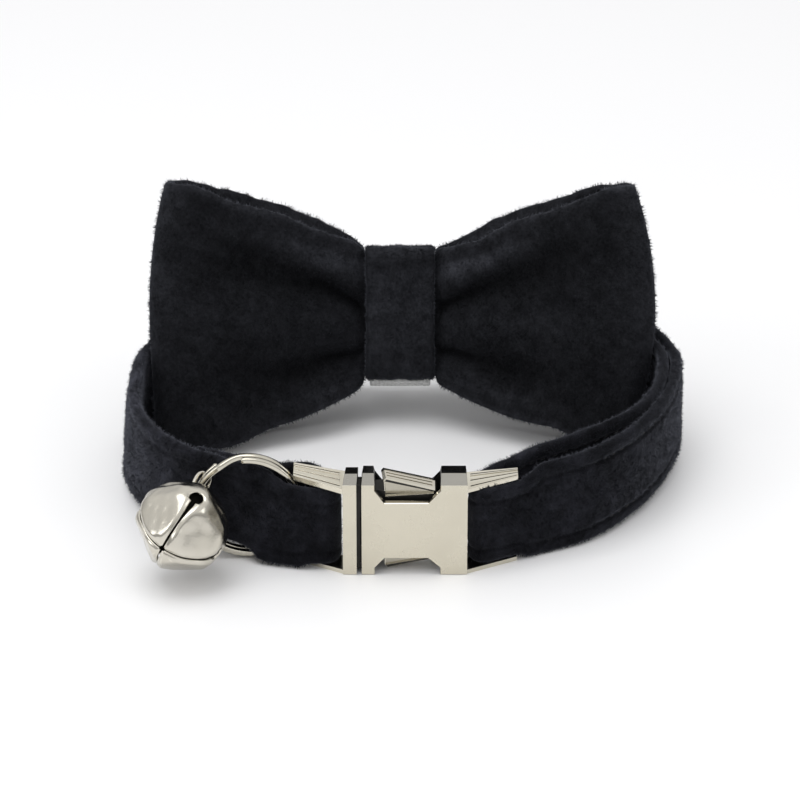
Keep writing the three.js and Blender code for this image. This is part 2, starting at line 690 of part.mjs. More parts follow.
// The knot is a strip of velvet wrapped once round the middle of the bow.
function bowKnot() {
  const wall = KNOT_WALL;
  const path = roundedSection(KNOT_DEEP - wall, KNOT_TALL - wall, 1.6, 4);
  const sections = path.map((p, i) => {
    const before = path[(i + path.length - 1) % path.length];
    const after = path[(i + 1) % path.length];
    const out = flat(after.y - before.y, before.x - after.x).normalize();
    return roundedSection(wall, KNOT_WIDE, 0.5, 1).map((q) => {
      const c = p.x + out.x * q.x - KNOT_DEEP / 2;
      const b = p.y + out.y * q.x - KNOT_DROP;
      return inBow(q.y * (1 - 0.04 * Math.cos((Math.PI * b) / KNOT_TALL)), b, c);
    });
  });
  return skin(sections, true);
}

// The elastic loop lies on the back of the knot, goes under the strap, up behind it and over it.
const BACK_ROW = ROUTE.find((row) => row.x === 0);
const STRAP_BACK = BACK_ROW.y + (BACK_ROW.in + STRAP_THICK) / 2;
const ELASTIC_OFF = GAP + ELASTIC_THICK / 2;

function elasticCorners() {
  const under = inBow(0, -13.4, -KNOT_DEEP - ELASTIC_OFF);
  const over = inBow(0, 5.4, -KNOT_DEEP - ELASTIC_OFF);
  const low = riseAt(STRAP_BACK) + BACK_ROW.low - ELASTIC_OFF;
  return [
    flat(under.y, under.z),
    flat(over.y, over.z),
    flat(STRAP_BACK + ELASTIC_OFF, over.z),
    flat(STRAP_BACK + ELASTIC_OFF, low),
    flat(STRAP_BACK - STRAP_THICK - 2, low),
  ];
}

function bowElastic() {
  const corners = elasticCorners();
  const path = [];
  corners.forEach((corner, i) => {
    const before = corners[(i + corners.length - 1) % corners.length];
    const after = corners[(i + 1) % corners.length];
    const arrive = corner.clone().lerp(before, 1.4 / corner.distanceTo(before));
    const leave = corner.clone().lerp(after, 1.4 / corner.distanceTo(after));
    const bend = new THREE.QuadraticBezierCurve(arrive, corner, leave);
    path.push(...bend.getPoints(4));
  });
  const sections = path.map((p, i) => {
    const before = path[(i + path.length - 1) % path.length];
    const after = path[(i + 1) % path.length];
    const out = flat(after.y - before.y, before.x - after.x).normalize();
    return roundedSection(ELASTIC_THICK, ELASTIC_WIDE, 0.3, 1).map((q) => point(q.y, p.x + out.x * q.x, p.y + out.y * q.x));
  });
  return skin(sections, true);
}

// ---------------------------------------------------------------- the collar

const collar = new THREE.Group();
collar.add(
  named("strap", strap(), velvet(0x17181d)),
  named("strap_slide", strapSlide(), nickel(0xb9b5ac, 0.3)),
  named("buckle_socket", buckleSocket(), nickel(0xd4cebe, 0.3)),
  named("buckle_tongue", buckleTongue(), nickel(0xd4cebe, 0.3)),
  named("lever_upper", lever(false), nickel(0xc9c4b8, 0.25)),
  named("lever_lower", lever(true), nickel(0xc9c4b8, 0.25)),
  named("split_ring", splitRing(), nickel(0xc4c0b6, 0.2)),
  named("bell_shell", bellShell(), nickel(0xc8c3b8, 0.2)),
  named("bell_pellet", bellPellet(), nickel(0x8c8a86, 0.35)),
  named("bow_band", bowBand(), velvet(0x101115)),
  named("bow_knot", bowKnot(), velvet(0x14151a)),
  named("bow_elastic", bowElastic(), elastic),
);

// The origin is the middle of the bounding box's underside.
const bounds = new THREE.Box3().setFromObject(collar);
const middle = bounds.getCenter(new THREE.Vector3());
for (const mesh of collar.children) {
  mesh.geometry.translate(-middle.x, -middle.y, -bounds.min.z);
}

export default collar;
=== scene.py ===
# %% [markdown]
# # A small velvet pet collar with a bow tie, a jingle bell and a side release buckle
#
# The collar stands on its edge, fastened. One flat velvet strap is sewn round the two halves of a
# metal buckle, a bell hangs from a split ring, and a velvet bow tie sits at the back on an elastic
# loop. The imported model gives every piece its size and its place. This lesson gives each of them
# its real surface: pile, stitching, plated metal and woven elastic.
#
# Lengths are in millimetres, with Z up and the buckle facing -Y. The lower left corner of the
# socket's front plate is at X -5.7, Y 0 and Z 0. They become metres only when a mesh is made.

import math

import bmesh
import bpy
import numpy as np
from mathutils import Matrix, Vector
from mathutils.bvhtree import BVHTree


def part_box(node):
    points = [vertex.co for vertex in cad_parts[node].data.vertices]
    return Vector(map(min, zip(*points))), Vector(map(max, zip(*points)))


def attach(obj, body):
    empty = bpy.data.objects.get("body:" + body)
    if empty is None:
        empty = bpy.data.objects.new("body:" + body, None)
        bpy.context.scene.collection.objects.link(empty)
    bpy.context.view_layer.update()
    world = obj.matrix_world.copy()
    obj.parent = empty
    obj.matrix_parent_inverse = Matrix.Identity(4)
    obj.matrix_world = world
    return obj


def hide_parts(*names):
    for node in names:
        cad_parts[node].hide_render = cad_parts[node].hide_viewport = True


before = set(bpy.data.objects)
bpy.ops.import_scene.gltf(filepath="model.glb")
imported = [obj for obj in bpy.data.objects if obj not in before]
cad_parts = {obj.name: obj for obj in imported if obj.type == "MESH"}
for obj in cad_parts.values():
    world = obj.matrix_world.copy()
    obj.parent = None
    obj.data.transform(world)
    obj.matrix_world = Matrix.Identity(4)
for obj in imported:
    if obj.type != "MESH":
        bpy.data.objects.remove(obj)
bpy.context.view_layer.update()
MM = 1000  # in a metre
SOCKET_LEFT = -5.7
HOME = np.array(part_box("buckle_socket")[0]) * MM - (SOCKET_LEFT, 0, 0)
scene = bpy.context.scene


def placed(points):
    """Millimetres in the lesson's own measure, as metres in the shared frame."""
    return (np.asarray(points, float) + HOME) / MM


def stood(name, data):
    """Puts a mesh, a lamp or a camera into the scene as an object."""
    made = bpy.data.objects.new(name, data)
    scene.collection.objects.link(made)
    return made


# %% [markdown]
# ## Camera, floor and light
#
# A small object is best seen from nearly half a metre away through a long lens, so that its far side
# is not much smaller than its near one. The camera looks down at 25 degrees, at the middle of the
# loop. The lens is fixed, with no depth of field.

# %% Camera
CAMERA_AT, LOOKS_DOWN, LENS, FILM = (0, -423.99, 226.53), 25, 144.7, 36
camera = stood("camera", bpy.data.cameras.new("camera"))
camera.location = placed(CAMERA_AT)
camera.rotation_euler = (math.radians(90 - LOOKS_DOWN), 0, 0)
camera.data.sensor_width, camera.data.lens = FILM, LENS
camera.data.clip_start, camera.data.clip_end = 0.02, 20
scene.camera = camera
print("camera at", tuple(round(v, 3) for v in camera.location))

# %% [markdown]
# Small helpers keep the node code readable. They fill sockets, add a node, mix two values, do sums
# and make a noise. A group is opened with its sockets and closed by wiring its results.

# %% Helpers for nodes
def fill(sockets, values):
    for key, value in values.items():
        sockets[key].default_value = value


def node(tree, kind, sockets=None, **settings):
    """Adds a node. A socket is linked where its value is another socket, and filled otherwise."""
    made = tree.nodes.new("ShaderNode" + kind)
    for key, value in settings.items():
        setattr(made, key, value)
    for key, value in (sockets or {}).items():
        if isinstance(value, bpy.types.NodeSocket):
            tree.links.new(value, made.inputs[key])
        else:
            made.inputs[key].default_value = value
    return made


def mixed(tree, factor, a, b, kind="RGBA"):
    """Goes from a to b by factor."""
    first, out = {"RGBA": (6, 2), "FLOAT": (2, 0)}[kind]
    return node(tree, "Mix", {0: factor, first: a, first + 1: b}, data_type=kind).outputs[out]


def maths(tree, what, *values, clamp=False):
    return node(tree, "Math", dict(enumerate(values)), operation=what, use_clamp=clamp).outputs[0]


def noise(tree, where, scale, detail=2.0, rough=0.5, twist=0.0):
    values = {"Vector": where, "Scale": scale, "Detail": detail, "Roughness": rough, "Distortion": twist}
    return node(tree, "TexNoise", values).outputs["Fac"]


def stretched(tree, value, low, high=1.0):
    """Spreads the values from low to high over 0 to 1."""
    return node(tree, "MapRange", {"Value": value, "From Min": low, "From Max": high}).outputs["Result"]


def open_group(name, inputs, outputs):
    """A group. Each input is a number, a vector of three or a colour of four, as its default is."""
    group = bpy.data.node_groups.new(name, "ShaderNodeTree")
    for label, value in inputs.items():
        kind = "Float" if isinstance(value, float) else {3: "Vector", 4: "Color"}[len(value)]
        group.interface.new_socket(label, in_out="INPUT", socket_type="NodeSocket" + kind).default_value = value
    for label in outputs:
        kind = "Color" if label == "Color" else "Float"
        group.interface.new_socket(label, in_out="OUTPUT", socket_type="NodeSocket" + kind)
    print("group:", name, "from", ", ".join(inputs), "to", ", ".join(outputs))
    return group, group.nodes.new("NodeGroupInput").outputs, group.nodes.new("NodeGroupOutput").inputs


def wired(tree, result, **values):
    for label, value in values.items():
        tree.links.new(value, result[label])


# %% [markdown]
# Black velvet shows its shape only at its edges, and nickel shows only what is around it. A white
# tent does both jobs: white floor, white sky a little darker towards the horizon, and one broad lamp
# that gives the soft shadows a direction. The view transform is the plain one, which lets the floor
# reach white.

# %% Floor, sky and lamps
scene.view_settings.view_transform = "Standard"
scene.view_settings.look = "None"

FLOOR_REACH = 2.5  # metres each way
floor_mesh = bpy.data.meshes.new("floor")
corners = [(x * FLOOR_REACH, y * FLOOR_REACH, 0) for x, y in ((-1, -1), (1, -1), (1, 1), (-1, 1))]
floor_mesh.from_pydata(corners, [], [(0, 1, 2, 3)])
stood("floor", floor_mesh)
paper = bpy.data.materials.new("paper_floor")
paper.use_nodes = True
fill(paper.node_tree.nodes["Principled BSDF"].inputs,
     {"Base Color": (0.93, 0.93, 0.94, 1), "Roughness": 0.35, "Specular IOR Level": 0.4})
floor_mesh.materials.append(paper)

# height of the view line, from straight down at 0 to straight up at 1, and its light
SKY = [(0.0, 0.36), (0.5, 0.36), (0.56, 0.48), (0.75, 0.8), (1.0, 1.0)]
scene.world = bpy.data.worlds.new("tent")
scene.world.use_nodes = True
sky = scene.world.node_tree
height = node(sky, "SeparateXYZ", {0: node(sky, "TexCoord").outputs["Generated"]}).outputs["Z"]
ramp = node(sky, "ValToRGB", {"Fac": stretched(sky, height, -1.0)})
stops = ramp.color_ramp.elements
stops.remove(stops[1])
for i, (at, light) in enumerate(SKY):
    stop = stops[0] if i == 0 else stops.new(at)
    stop.position, stop.color = at, (light, light, light, 1)
sky.links.new(ramp.outputs["Color"], sky.nodes["Background"].inputs["Color"])

LAMPS = [  # name, place, aimed at, size, watts
    ("overhead", (-120, -40, 620), (0, 30, 10), 420, 1.25),
    ("left", (-520, -260, 330), (0, 20, 10), 260, 0.5),
    ("right", (560, -120, 300), (0, 20, 10), 200, 0.2),
]
for name, place, aim, size, watts in LAMPS:
    lamp = bpy.data.lights.new(name, "AREA")
    lamp.size, lamp.energy = size / MM, watts
    holder = stood(name, lamp)
    holder.location = placed(place)
    holder.rotation_euler = Vector(placed(aim) - placed(place)).to_track_quat("-Z", "Y").to_euler()
print("lamps:", len(LAMPS))

# %% [markdown]
# ## Node groups
#
# Each effect that more than one finish needs is a group with named inputs and outputs. A group
# gives colours, masks and heights only, and the shader stays in the material.
#
# ** Nap.** The pile of a short velvet lies in patches, a few millimetres across, that lean different
# ways, and within a patch single tufts are lighter where the light runs along them. Two noises give
# that: a coarse one for the patches and a fine one for the tufts. It works in the object's own
# metres, so it has the right scale on every piece. The mesh also carries a number per point, partly
# random tone and mostly painted light and shade: below zero it paints shade, in a pleat's valley,
# along a seam or on a side turned from the lamps, and above zero it paints a highlight, on a ridge,
# a rolled edge or a side turned to them.

# %% Group: nap
nap, given, result = open_group("nap", {
    "Deep": (0.004, 0.0045, 0.006, 1), "Lit": (0.02, 0.022, 0.028, 1), "Tufts per Metre": 2200.0,
    "Patches per Metre": 260.0, "Patch Share": 0.3, "Shade and Tone Gain": 2.6}, ("Color", "Height", "Mask"))
where = node(nap, "TexCoord").outputs["Object"]
tufts = noise(nap, where, given["Tufts per Metre"], 3.0, 0.65)
patches = stretched(nap, noise(nap, where, given["Patches per Metre"]), 0.35, 0.65)
both = mixed(nap, given["Patch Share"], tufts, patches, "FLOAT")
lifted = stretched(nap, both, 0.3, 0.72)
# Painted light and shade: the mesh's number darkens or lightens the nap's colour.
gain = maths(nap, "POWER", given["Shade and Tone Gain"], node(nap, "Attribute", attribute_name="lie").outputs["Fac"])
tone = mixed(nap, lifted, given["Deep"], given["Lit"])
shade = node(nap, "VectorMath", {0: tone, "Scale": gain}, operation="SCALE").outputs["Vector"]
wired(nap, result, Color=shade, Height=both, Mask=lifted)

# %% [markdown]
# **Plating.** Nickel plate on cast zinc or bent wire is never quite even: it is faintly smeared by
# handling, finely scratched along one way, and rubbed brighter on its edges, where the corner of the
# metal stands out. The edge mask comes from how sharply the surface turns.

# %% Group: plating
plating, given, result = open_group("plating", {
    "Plate": (0.595, 0.556, 0.45, 1), "Rubbed": (0.8, 0.77, 0.68, 1), "Dulled": (0.48, 0.45, 0.37, 1),
    "Smears per Metre": 180.0, "Grain per Metre": 2600.0, "Grain Stretch": (1, 8, 1),
    "Smooth": 0.2, "Rough": 0.4, "Rub": 0.5}, ("Color", "Roughness", "Height"))
where = node(plating, "TexCoord").outputs["Object"]
smears = noise(plating, where, given["Smears per Metre"], 3.0, 0.6, 0.4)
along = node(plating, "VectorMath", {0: where, 1: given["Grain Stretch"]}, operation="MULTIPLY")
grain = noise(plating, along.outputs["Vector"], given["Grain per Metre"], 2.0, 0.6)
smear = stretched(plating, smears, 0.35, 0.7)
edge = stretched(plating, node(plating, "NewGeometry").outputs["Pointiness"], 0.52, 0.6)
base = mixed(plating, maths(plating, "MULTIPLY", smear, 0.35), given["Plate"], given["Dulled"])
rubbed = mixed(plating, maths(plating, "MULTIPLY", edge, given["Rub"], clamp=True), base, given["Rubbed"])
rough = mixed(plating, maths(plating, "MULTIPLY", smear, grain), given["Smooth"], given["Rough"], "FLOAT")
relief = maths(plating, "ADD", grain, maths(plating, "MULTIPLY", smears, 0.6))
wired(plating, result, Color=rubbed, Roughness=rough, Height=relief)

# %% [markdown]
# **Ribs.** Elastic and sewing thread are both covered by yarn that runs in fine ribs: across the
# elastic's length, and round the thread in a slant. One group makes both from the piece's own map,
# whose first number runs along the piece and whose second runs across it, in millimetres.

# %% Group: ribs
ribs, given, result = open_group("ribs", {
    "Groove": (0.4, 0.4, 0.38, 1), "Yarn": (0.85, 0.84, 0.8, 1), "Ribs per mm": 2.2, "Slant": 0.0,
    "Yarns per mm": 1.5}, ("Color", "Height"))


def rib_wave(place, per_mm, depth):
    turns = maths(ribs, "MULTIPLY", place, maths(ribs, "MULTIPLY", per_mm, 2 * math.pi))
    return maths(ribs, "MULTIPLY", maths(ribs, "SINE", turns), depth)


place = node(ribs, "SeparateXYZ", {0: node(ribs, "TexCoord").outputs["UV"]}).outputs
leaned = maths(ribs, "ADD", place["X"], maths(ribs, "MULTIPLY", place["Y"], given["Slant"]))
across, round_it = rib_wave(leaned, given["Ribs per mm"], 0.32), rib_wave(place["Y"], given["Yarns per mm"], 0.18)
weave = maths(ribs, "ADD", across, round_it)
fuzz = noise(ribs, node(ribs, "TexCoord").outputs["Object"], 3000.0)
level = maths(ribs, "ADD", maths(ribs, "ADD", weave, 0.3), maths(ribs, "MULTIPLY", fuzz, 0.4), clamp=True)
wired(ribs, result, Color=mixed(ribs, level, given["Groove"], given["Yarn"]), Height=level)

# %% [markdown]
# ## Finishes
#
# A velvet's colour lies deep between its fibres, and their sides catch light that comes in low. The
# shader's sheen is made for that. The strap is a shade lighter than the bow, whose nap lies flatter.
# Every finish keeps its plain numbers, such as sheen, on the shader itself.

# %% Finishes of cloth
def finish(name, group, values, plain, relief=None):
    """A material with a group's pattern. relief is the strength and the depth of its bump."""
    made = bpy.data.materials.new(name)
    made.use_nodes = True
    tree = made.node_tree
    shader = tree.nodes["Principled BSDF"].inputs
    pattern = tree.nodes.new("ShaderNodeGroup")
    pattern.node_tree = group
    fill(pattern.inputs, values)
    fill(shader, plain)
    tree.links.new(pattern.outputs["Color"], shader["Base Color"])
    if "Roughness" in pattern.outputs:
        tree.links.new(pattern.outputs["Roughness"], shader["Roughness"])
    if relief:
        bump = node(tree, "Bump", {"Height": pattern.outputs["Height"], "Strength": relief[0], "Distance": relief[1]})
        tree.links.new(bump.outputs["Normal"], shader["Normal"])
    return made


STRAP_CLOTH = {"Roughness": 0.95, "Specular IOR Level": 0.08, "Sheen Weight": 0.3, "Sheen Roughness": 0.4,
               "Sheen Tint": (0.6, 0.63, 0.75, 1)}
BOW_CLOTH = {**STRAP_CLOTH, "Sheen Weight": 0.22}
STRAP_TONE = {"Deep": (0.0055, 0.0057, 0.0072, 1), "Lit": (0.0175, 0.018, 0.0235, 1)}
BOW_TONE = {"Deep": (0.0058, 0.0061, 0.0074, 1), "Lit": (0.016, 0.0166, 0.0198, 1),
            "Patches per Metre": 150.0, "Patch Share": 0.15}
CLOTH_RELIEF = (0.6, 0.0003)
strap_velvet = finish("strap_velvet", nap, STRAP_TONE, STRAP_CLOTH, CLOTH_RELIEF)
bow_velvet = finish("bow_velvet", nap, BOW_TONE, BOW_CLOTH, CLOTH_RELIEF)
strap_pile = finish("strap_pile", nap, {**STRAP_TONE, "Lit": (0.0205, 0.0212, 0.0275, 1)}, STRAP_CLOTH)
bow_pile = finish("bow_pile", nap, {**BOW_TONE, "Lit": (0.0185, 0.0192, 0.023, 1)}, BOW_CLOTH)
white_elastic = finish(
    "white_elastic", ribs, {"Groove": (0.9, 0.9, 0.89, 1), "Yarn": (0.98, 0.98, 0.97, 1)},
    {"Roughness": 0.85, "Specular IOR Level": 0.2, "Sheen Weight": 0.2, "Sheen Roughness": 0.5}, (0.8, 0.0003))
thread = finish(
    "thread", ribs,
    {"Groove": (0.003, 0.003, 0.004, 1), "Yarn": (0.014, 0.014, 0.018, 1), "Ribs per mm": 2.5, "Slant": 0.6},
    {"Roughness": 0.6, "Specular IOR Level": 0.3, "Sheen Weight": 0.3, "Sheen Roughness": 0.4}, (0.5, 0.0001))
print("finishes of cloth ready")

# %% [markdown]
# The buckle is satin on its broad faces and bright in its small recesses. Its near-black finish is
# painted shade, inside the buckle, at the bottoms of the arms' fine lines and on the levers' necks,
# and the grey one on the front of its top faces is a painted reflection. The ring and the bell are
# bent and pressed from sheet and wire, brighter, and a little uneven. The bell's near-black inside
# is painted shade.

# %% Finishes of metal
USUAL = (0.48, 0.45, 0.37)  # the group's own dulled colour
METALS = [  # name, plate, dulled, smooth, rough, strength and depth of the relief, and what else differs
    ("buckle", (0.645, 0.605, 0.5), (0.6, 0.56, 0.46), 0.24, 0.42, (0.06, 0.00005),
     {"Rub": 0.0, "Grain Stretch": (6, 1, 1)}),
    ("polished", (0.66, 0.62, 0.52), USUAL, 0.07, 0.16, (0.08, 0.00005), {}),
    ("painted_reflection", (0.42, 0.405, 0.365), (0.36, 0.35, 0.32), 0.2, 0.34, (0.06, 0.00005), {"Rub": 0.0}),
    ("lever", (0.66, 0.62, 0.53), USUAL, 0.1, 0.24, (0.12, 0.00005), {"Grain Stretch": (1, 8, 8)}),
    ("ring", (0.6, 0.57, 0.49), USUAL, 0.07, 0.16, (0.08, 0.00005), {}),
    ("bell", (0.62, 0.59, 0.52), USUAL, 0.1, 0.28, (0.15, 0.0001), {"Smears per Metre": 240.0}),
    ("bell_painted_shade", (0.05, 0.046, 0.04), (0.03, 0.028, 0.025), 0.4, 0.6, (0.2, 0.0001), {"Rub": 0.0}),
    ("painted_shade", (0.05, 0.048, 0.045), (0.02, 0.02, 0.02), 0.5, 0.7, (0.1, 0.0001), {"Rubbed": (0.08, 0.075, 0.07, 1)}),
    ("panel", (0.46, 0.43, 0.36), (0.3, 0.28, 0.235), 0.15, 0.3, (0.1, 0.00005), {"Rub": 0.0}),
    ("slide", (0.5, 0.48, 0.44), USUAL, 0.2, 0.4, (0.1, 0.00005), {}),
    ("pellet", (0.3, 0.29, 0.28), (0.16, 0.15, 0.14), 0.3, 0.5, (0.3, 0.0001), {}),
]
metal = {}
for name, plate, dulled, smooth, rough, relief, others in METALS:
    values = {"Plate": (*plate, 1), "Dulled": (*dulled, 1), "Smooth": smooth, "Rough": rough, **others}
    full_name = name if name == "bell_painted_shade" else name + "_metal"
    metal[name] = finish(full_name, plating, values, {"Metallic": 1.0}, relief)
for part, name in (("strap_slide", "slide"), ("bell_pellet", "pellet")):
    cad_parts[part].material_slots[0].material = metal[name]
print("finishes of metal ready")

# %% [markdown]
# ## Shapes
#
# Cloth and wire are both long things with a section, so most pieces here are a row of sections
# joined into a skin. The helpers are: soft steps and humps, a smooth line through a table of rows,
# an even spacing of it, a skin over sections, and a gentle ripple, which is the sum of a few waves
# in seeded directions.

# %% Helpers for lines
SPAN_POINTS = 24  # points that a smooth line has for each row of its table
WAVES = 10


def ease(x, low, high):
    """0 up to low and 1 from high on, with a soft step between."""
    t = np.clip((np.asarray(x, float) - low) / (high - low), 0, 1)
    return t * t * (3 - 2 * t)


def between(x, start, full, fade, end):
    return ease(x, start, full) * (1 - ease(x, fade, end))


def hump(x, at, spread):
    """1 at a place, and soft to 0 on both sides."""
    return np.exp(-(((x - at) / spread) ** 2))


def mix(a, b, t):
    return a + (b - a) * t


def unit(v):
    v = np.asarray(v, float)
    return v / np.linalg.norm(v, axis=-1, keepdims=True)


def smooth_line(rows, closed=False):
    """Many points on a smooth line through the rows. The first two columns set the pace."""
    rows = np.asarray(rows, float)
    ends = (rows[-1:], rows[:2]) if closed else (2 * rows[:1] - rows[1:2], 2 * rows[-1:] - rows[-2:-1])
    p = np.vstack([ends[0], rows, ends[1]])
    t = np.linspace(0, 1, SPAN_POINTS, endpoint=False)[:, None]
    out = []
    for p0, p1, p2, p3 in zip(p, p[1:], p[2:], p[3:]):
        a, b, c = (max(np.linalg.norm((v - u)[:2]) ** 0.5, 1e-3) for u, v in ((p0, p1), (p1, p2), (p2, p3)))
        leave = ((p1 - p0) / a - (p2 - p0) / (a + b) + (p2 - p1) / b) * b
        arrive = ((p2 - p1) / b - (p3 - p1) / (b + c) + (p3 - p2) / c) * b
        out.append(p1 * (2 * t**3 - 3 * t**2 + 1) + leave * (t**3 - 2 * t**2 + t)
                   + p2 * (3 * t**2 - 2 * t**3) + arrive * (t**3 - t**2))
    return np.vstack(out if closed else [*out, rows[-1:]])


def run_of(points):
    """Length along a line at each of its points."""
    return np.concatenate([[0], np.cumsum(np.linalg.norm(np.diff(points[:, :2], axis=0), axis=1))])


def at_lengths(table, lengths):
    run = run_of(table)
    return np.stack([np.interp(lengths, run, column) for column in table.T], axis=1)


def evenly(rows, count):
    """Even points round a closed line, their outward normals, and the length once round."""
    ring = np.vstack([rows, rows[:1]])
    whole = run_of(ring)[-1]
    ring = at_lengths(ring, np.linspace(0, whole, count, endpoint=False))
    way = np.roll(ring[:, :2], -1, axis=0) - np.roll(ring[:, :2], 1, axis=0)
    return ring, unit(np.column_stack([way[:, 1], -way[:, 0]])), whole


def headings(points):
    """Unit directions along a line in plan."""
    return unit(np.gradient(points[:, :2], axis=0))


def ripple(points, size, seed):
    """A gentle random height from about -1 to 1 that changes over about size millimetres."""
    dice = np.random.default_rng(seed)
    ways = dice.normal(size=(WAVES, 3))
    ways *= (dice.uniform(0.6, 1.5, WAVES) / np.linalg.norm(ways, axis=1))[:, None] * np.pi / size
    return np.sin(points @ ways.T + dice.uniform(0, 6.28, WAVES)).sum(-1) / 3.2


# %% Helpers for skins
def skin(sections, closed=False):
    """Points and faces of a skin over sections, an array of rows x points x 3."""
    rows, count, _ = sections.shape
    here = np.arange(rows if closed else rows - 1)[:, None] * count
    after = (here + count) % (rows * count)
    j = np.arange(count)[None]
    k = (j + 1) % count
    faces = np.stack([here + j, after + j, after + k, here + k], axis=2).reshape(-1, 4).tolist()
    if not closed:
        faces += [list(range(count)), list(range(rows * count - 1, (rows - 1) * count - 1, -1))]
    return sections.reshape(-1, 3), faces


def joined(parts):
    """Several lists of points and faces as one."""
    points, faces, base = [], [], 0
    for p, f in parts:
        points.append(p)
        faces += [[i + base for i in face] for face in f]
        base += len(p)
    return np.vstack(points), faces


def triangles_of(mesh):
    """A mesh's points, and the three points of each of its triangles."""
    mesh.calc_loop_triangles()
    return np.array([v.co for v in mesh.vertices]), np.array([t.vertices for t in mesh.loop_triangles])


def mesh_of(name, points, faces):
    """A mesh, turned right side out."""
    mesh = bpy.data.meshes.new(name)
    mesh.from_pydata(np.asarray(points).tolist(), [], faces)
    mesh.update()
    p, q, r = np.moveaxis(np.take(*triangles_of(mesh), axis=0), 1, 0)
    if np.einsum("ij,ij->i", p, np.cross(q, r)).sum() < 0:
        mesh.flip_normals()
    return mesh


def set_lie(mesh, lie):
    mesh.attributes.new("lie", "FLOAT", "POINT").data.foreach_set("value", np.ravel(lie).astype(np.float32))


def piece(name, shape, material, stands_for=None, slot=None, lie=None, body="collar"):
    """Makes an object in the shared frame that rides on a body, from points and faces."""
    points, faces = shape
    mesh = mesh_of(name, placed(points), faces)
    mesh.polygons.foreach_set("use_smooth", [True] * len(mesh.polygons))
    mesh.materials.append(material)
    if lie is not None:
        set_lie(mesh, lie)
    made = stood(name, mesh)
    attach(made, body)
    if stands_for:
        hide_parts(stands_for)
    print(f"{name}: {len(mesh.vertices)} points, {len(mesh.polygons)} faces")
    return made


# %% [markdown]
# ## The strap
#
# The strap is one long strip of velvet over a soft filling. It starts at its long tail inside the
# loop, runs to the buckle's socket, turns round the crossbar, goes all the way round the loop as the
# outer layer, turns round the tongue's crossbar and ends in a short tail inside. A row of stations
# holds all of that: where the strap's middle is, which way it faces, how it leans and where its two
# edges are.

# %% The strap's route
STRAP_WIDE, STRAP_THICK, LAYER_STEP = 15, 1.7, 2.05
ROUTE = np.array([  # x, y, lean, low, high
    (16.6, 4.9, 0, 0.8, 12.9), (17.9, 5.45, 0, 0.75, 12.95), (19.1, 6, 0, 0.1, 13.5), (21.3, 7.2, 0, 0, 15),
    (28.2, 11, 0, 0.1, 15.1), (34.9, 18, -0.2, 0.1, 15.1), (40.8, 28.6, -0.2, 0.1, 15.1), (43.6, 38.2, 0.2, 0.2, 15),
    (43.7, 46.4, 0.3, 0.3, 14.7), (38.2, 57, 1, 0.3, 15.3), (27.6, 62.8, 1.2, 0.3, 15.3), (14.4, 65.6, 0.8, 0.3, 15.3),
    (0, 66.2, 0.6, 0.3, 15.3), (-14.4, 65.2, 0.8, 0.3, 15.3), (-27.2, 61.2, 1.2, -0.4, 15.2),
    (-36.4, 54, 1.6, -1.2, 15.1), (-41.4, 46.4, 1.2, -0.8, 14.3), (-42.2, 36.5, 1.4, 0.1, 14.7),
    (-41.7, 28, 1.2, 0.1, 15.1), (-38.2, 19.2, 0.4, 0.1, 15.1), (-32.9, 12.6, 0.6, 0.1, 15.1),
    (-27.1, 8.9, 0.6, 2.2, 15.1), (-23.2, 6.5, 1.2, 2, 15), (-21.7, 5.7, 2.2, 2, 14.8), (-20.2, 4.85, 2.6, 0.6, 14.4),
    (-17.2, 3.7, 1.4, 0.3, 12.9), (-15, 3, 1.4, 0.4, 12.9)])
RIGHT_FOLD = [(14.4, 3.6), (12.1, 2.75), (11.1, 3.8), (11.2, 6.6), (12.1, 8.3), (13.8, 9.1)]
LEFT_FOLD = [(-12.6, 2.6), (-10.6, 2.5), (-9.75, 3.6), (-9.75, 6.6), (-10.5, 8.2), (-12.0, 9.0)]
SLOT_LOW, SLOT_HIGH = 0.8, 13.0
# spread: length from the crossbar, and how far apart the two layers' middles are there
RIGHT_TAIL = {"length": 79, "low": 0.1, "high": 14.3, "end": 15.0, "spread": [
    (0, 4.3), (4, 4.8), (8, 5.2), (13, 5.35), (18, 4.9), (22.5, 4.15), (27.5, 3.0), (32.5, 2.25), (37, LAYER_STEP)]}
LEFT_TAIL = {"length": 20.5, "low": 1.8, "high": 14.0, "end": 13.7, "spread": [
    (0, 6.6), (3, 5.9), (5.5, 5.0), (9, 4.1), (13, 3.6), (17, 3.2), (21, 2.8)]}
FOLD_STEPS = np.linspace(0, 1, 42)[1:-1]
CLEAR = 1.2  # the inner layer starts this far from the outer one's end
STEP = 0.7  # between stations on the tails
LOOP_STATIONS = 330

plan = smooth_line(ROUTE[:, :2])
row_at = np.arange(len(plan)) / SPAN_POINTS
loop = np.column_stack([plan, *[np.interp(row_at, np.arange(len(ROUTE)), c) for c in ROUTE.T[2:]], headings(plan)])
LOOP_LENGTH = run_of(loop)[-1]
print("outer layer:", round(LOOP_LENGTH, 1), "mm")


def rise(y):
    """The loop's plane climbs a little towards the back."""
    return 0.05 * np.maximum(np.asarray(y) - 6, 0)


def loop_at(lengths):
    """Middle, inward direction, lean, low and high of the outer layer."""
    row = at_lengths(loop, np.atleast_1d(lengths))
    return row[:, :2], unit(np.column_stack([-row[:, 6], row[:, 5]])), row[:, 2], row[:, 3], row[:, 4]


def inner_layer(lengths, from_bar, tail):
    """The inner layer stands off the outer one by the tail's spread, and widens once past the arms."""
    middle, inward, lean, low, high = loop_at(lengths)
    away = np.interp(from_bar, *np.transpose(tail["spread"]))
    low = mix(SLOT_LOW, np.maximum(low, tail["low"]), ease(from_bar, 0, 3))
    high = mix(tail["high"], np.maximum(high - STRAP_WIDE + tail["end"], tail["end"]), ease(from_bar, 0, 8))
    return np.column_stack([middle + inward * away[:, None], -inward, inward, lean * ease(from_bar, 4, 20), low, high])


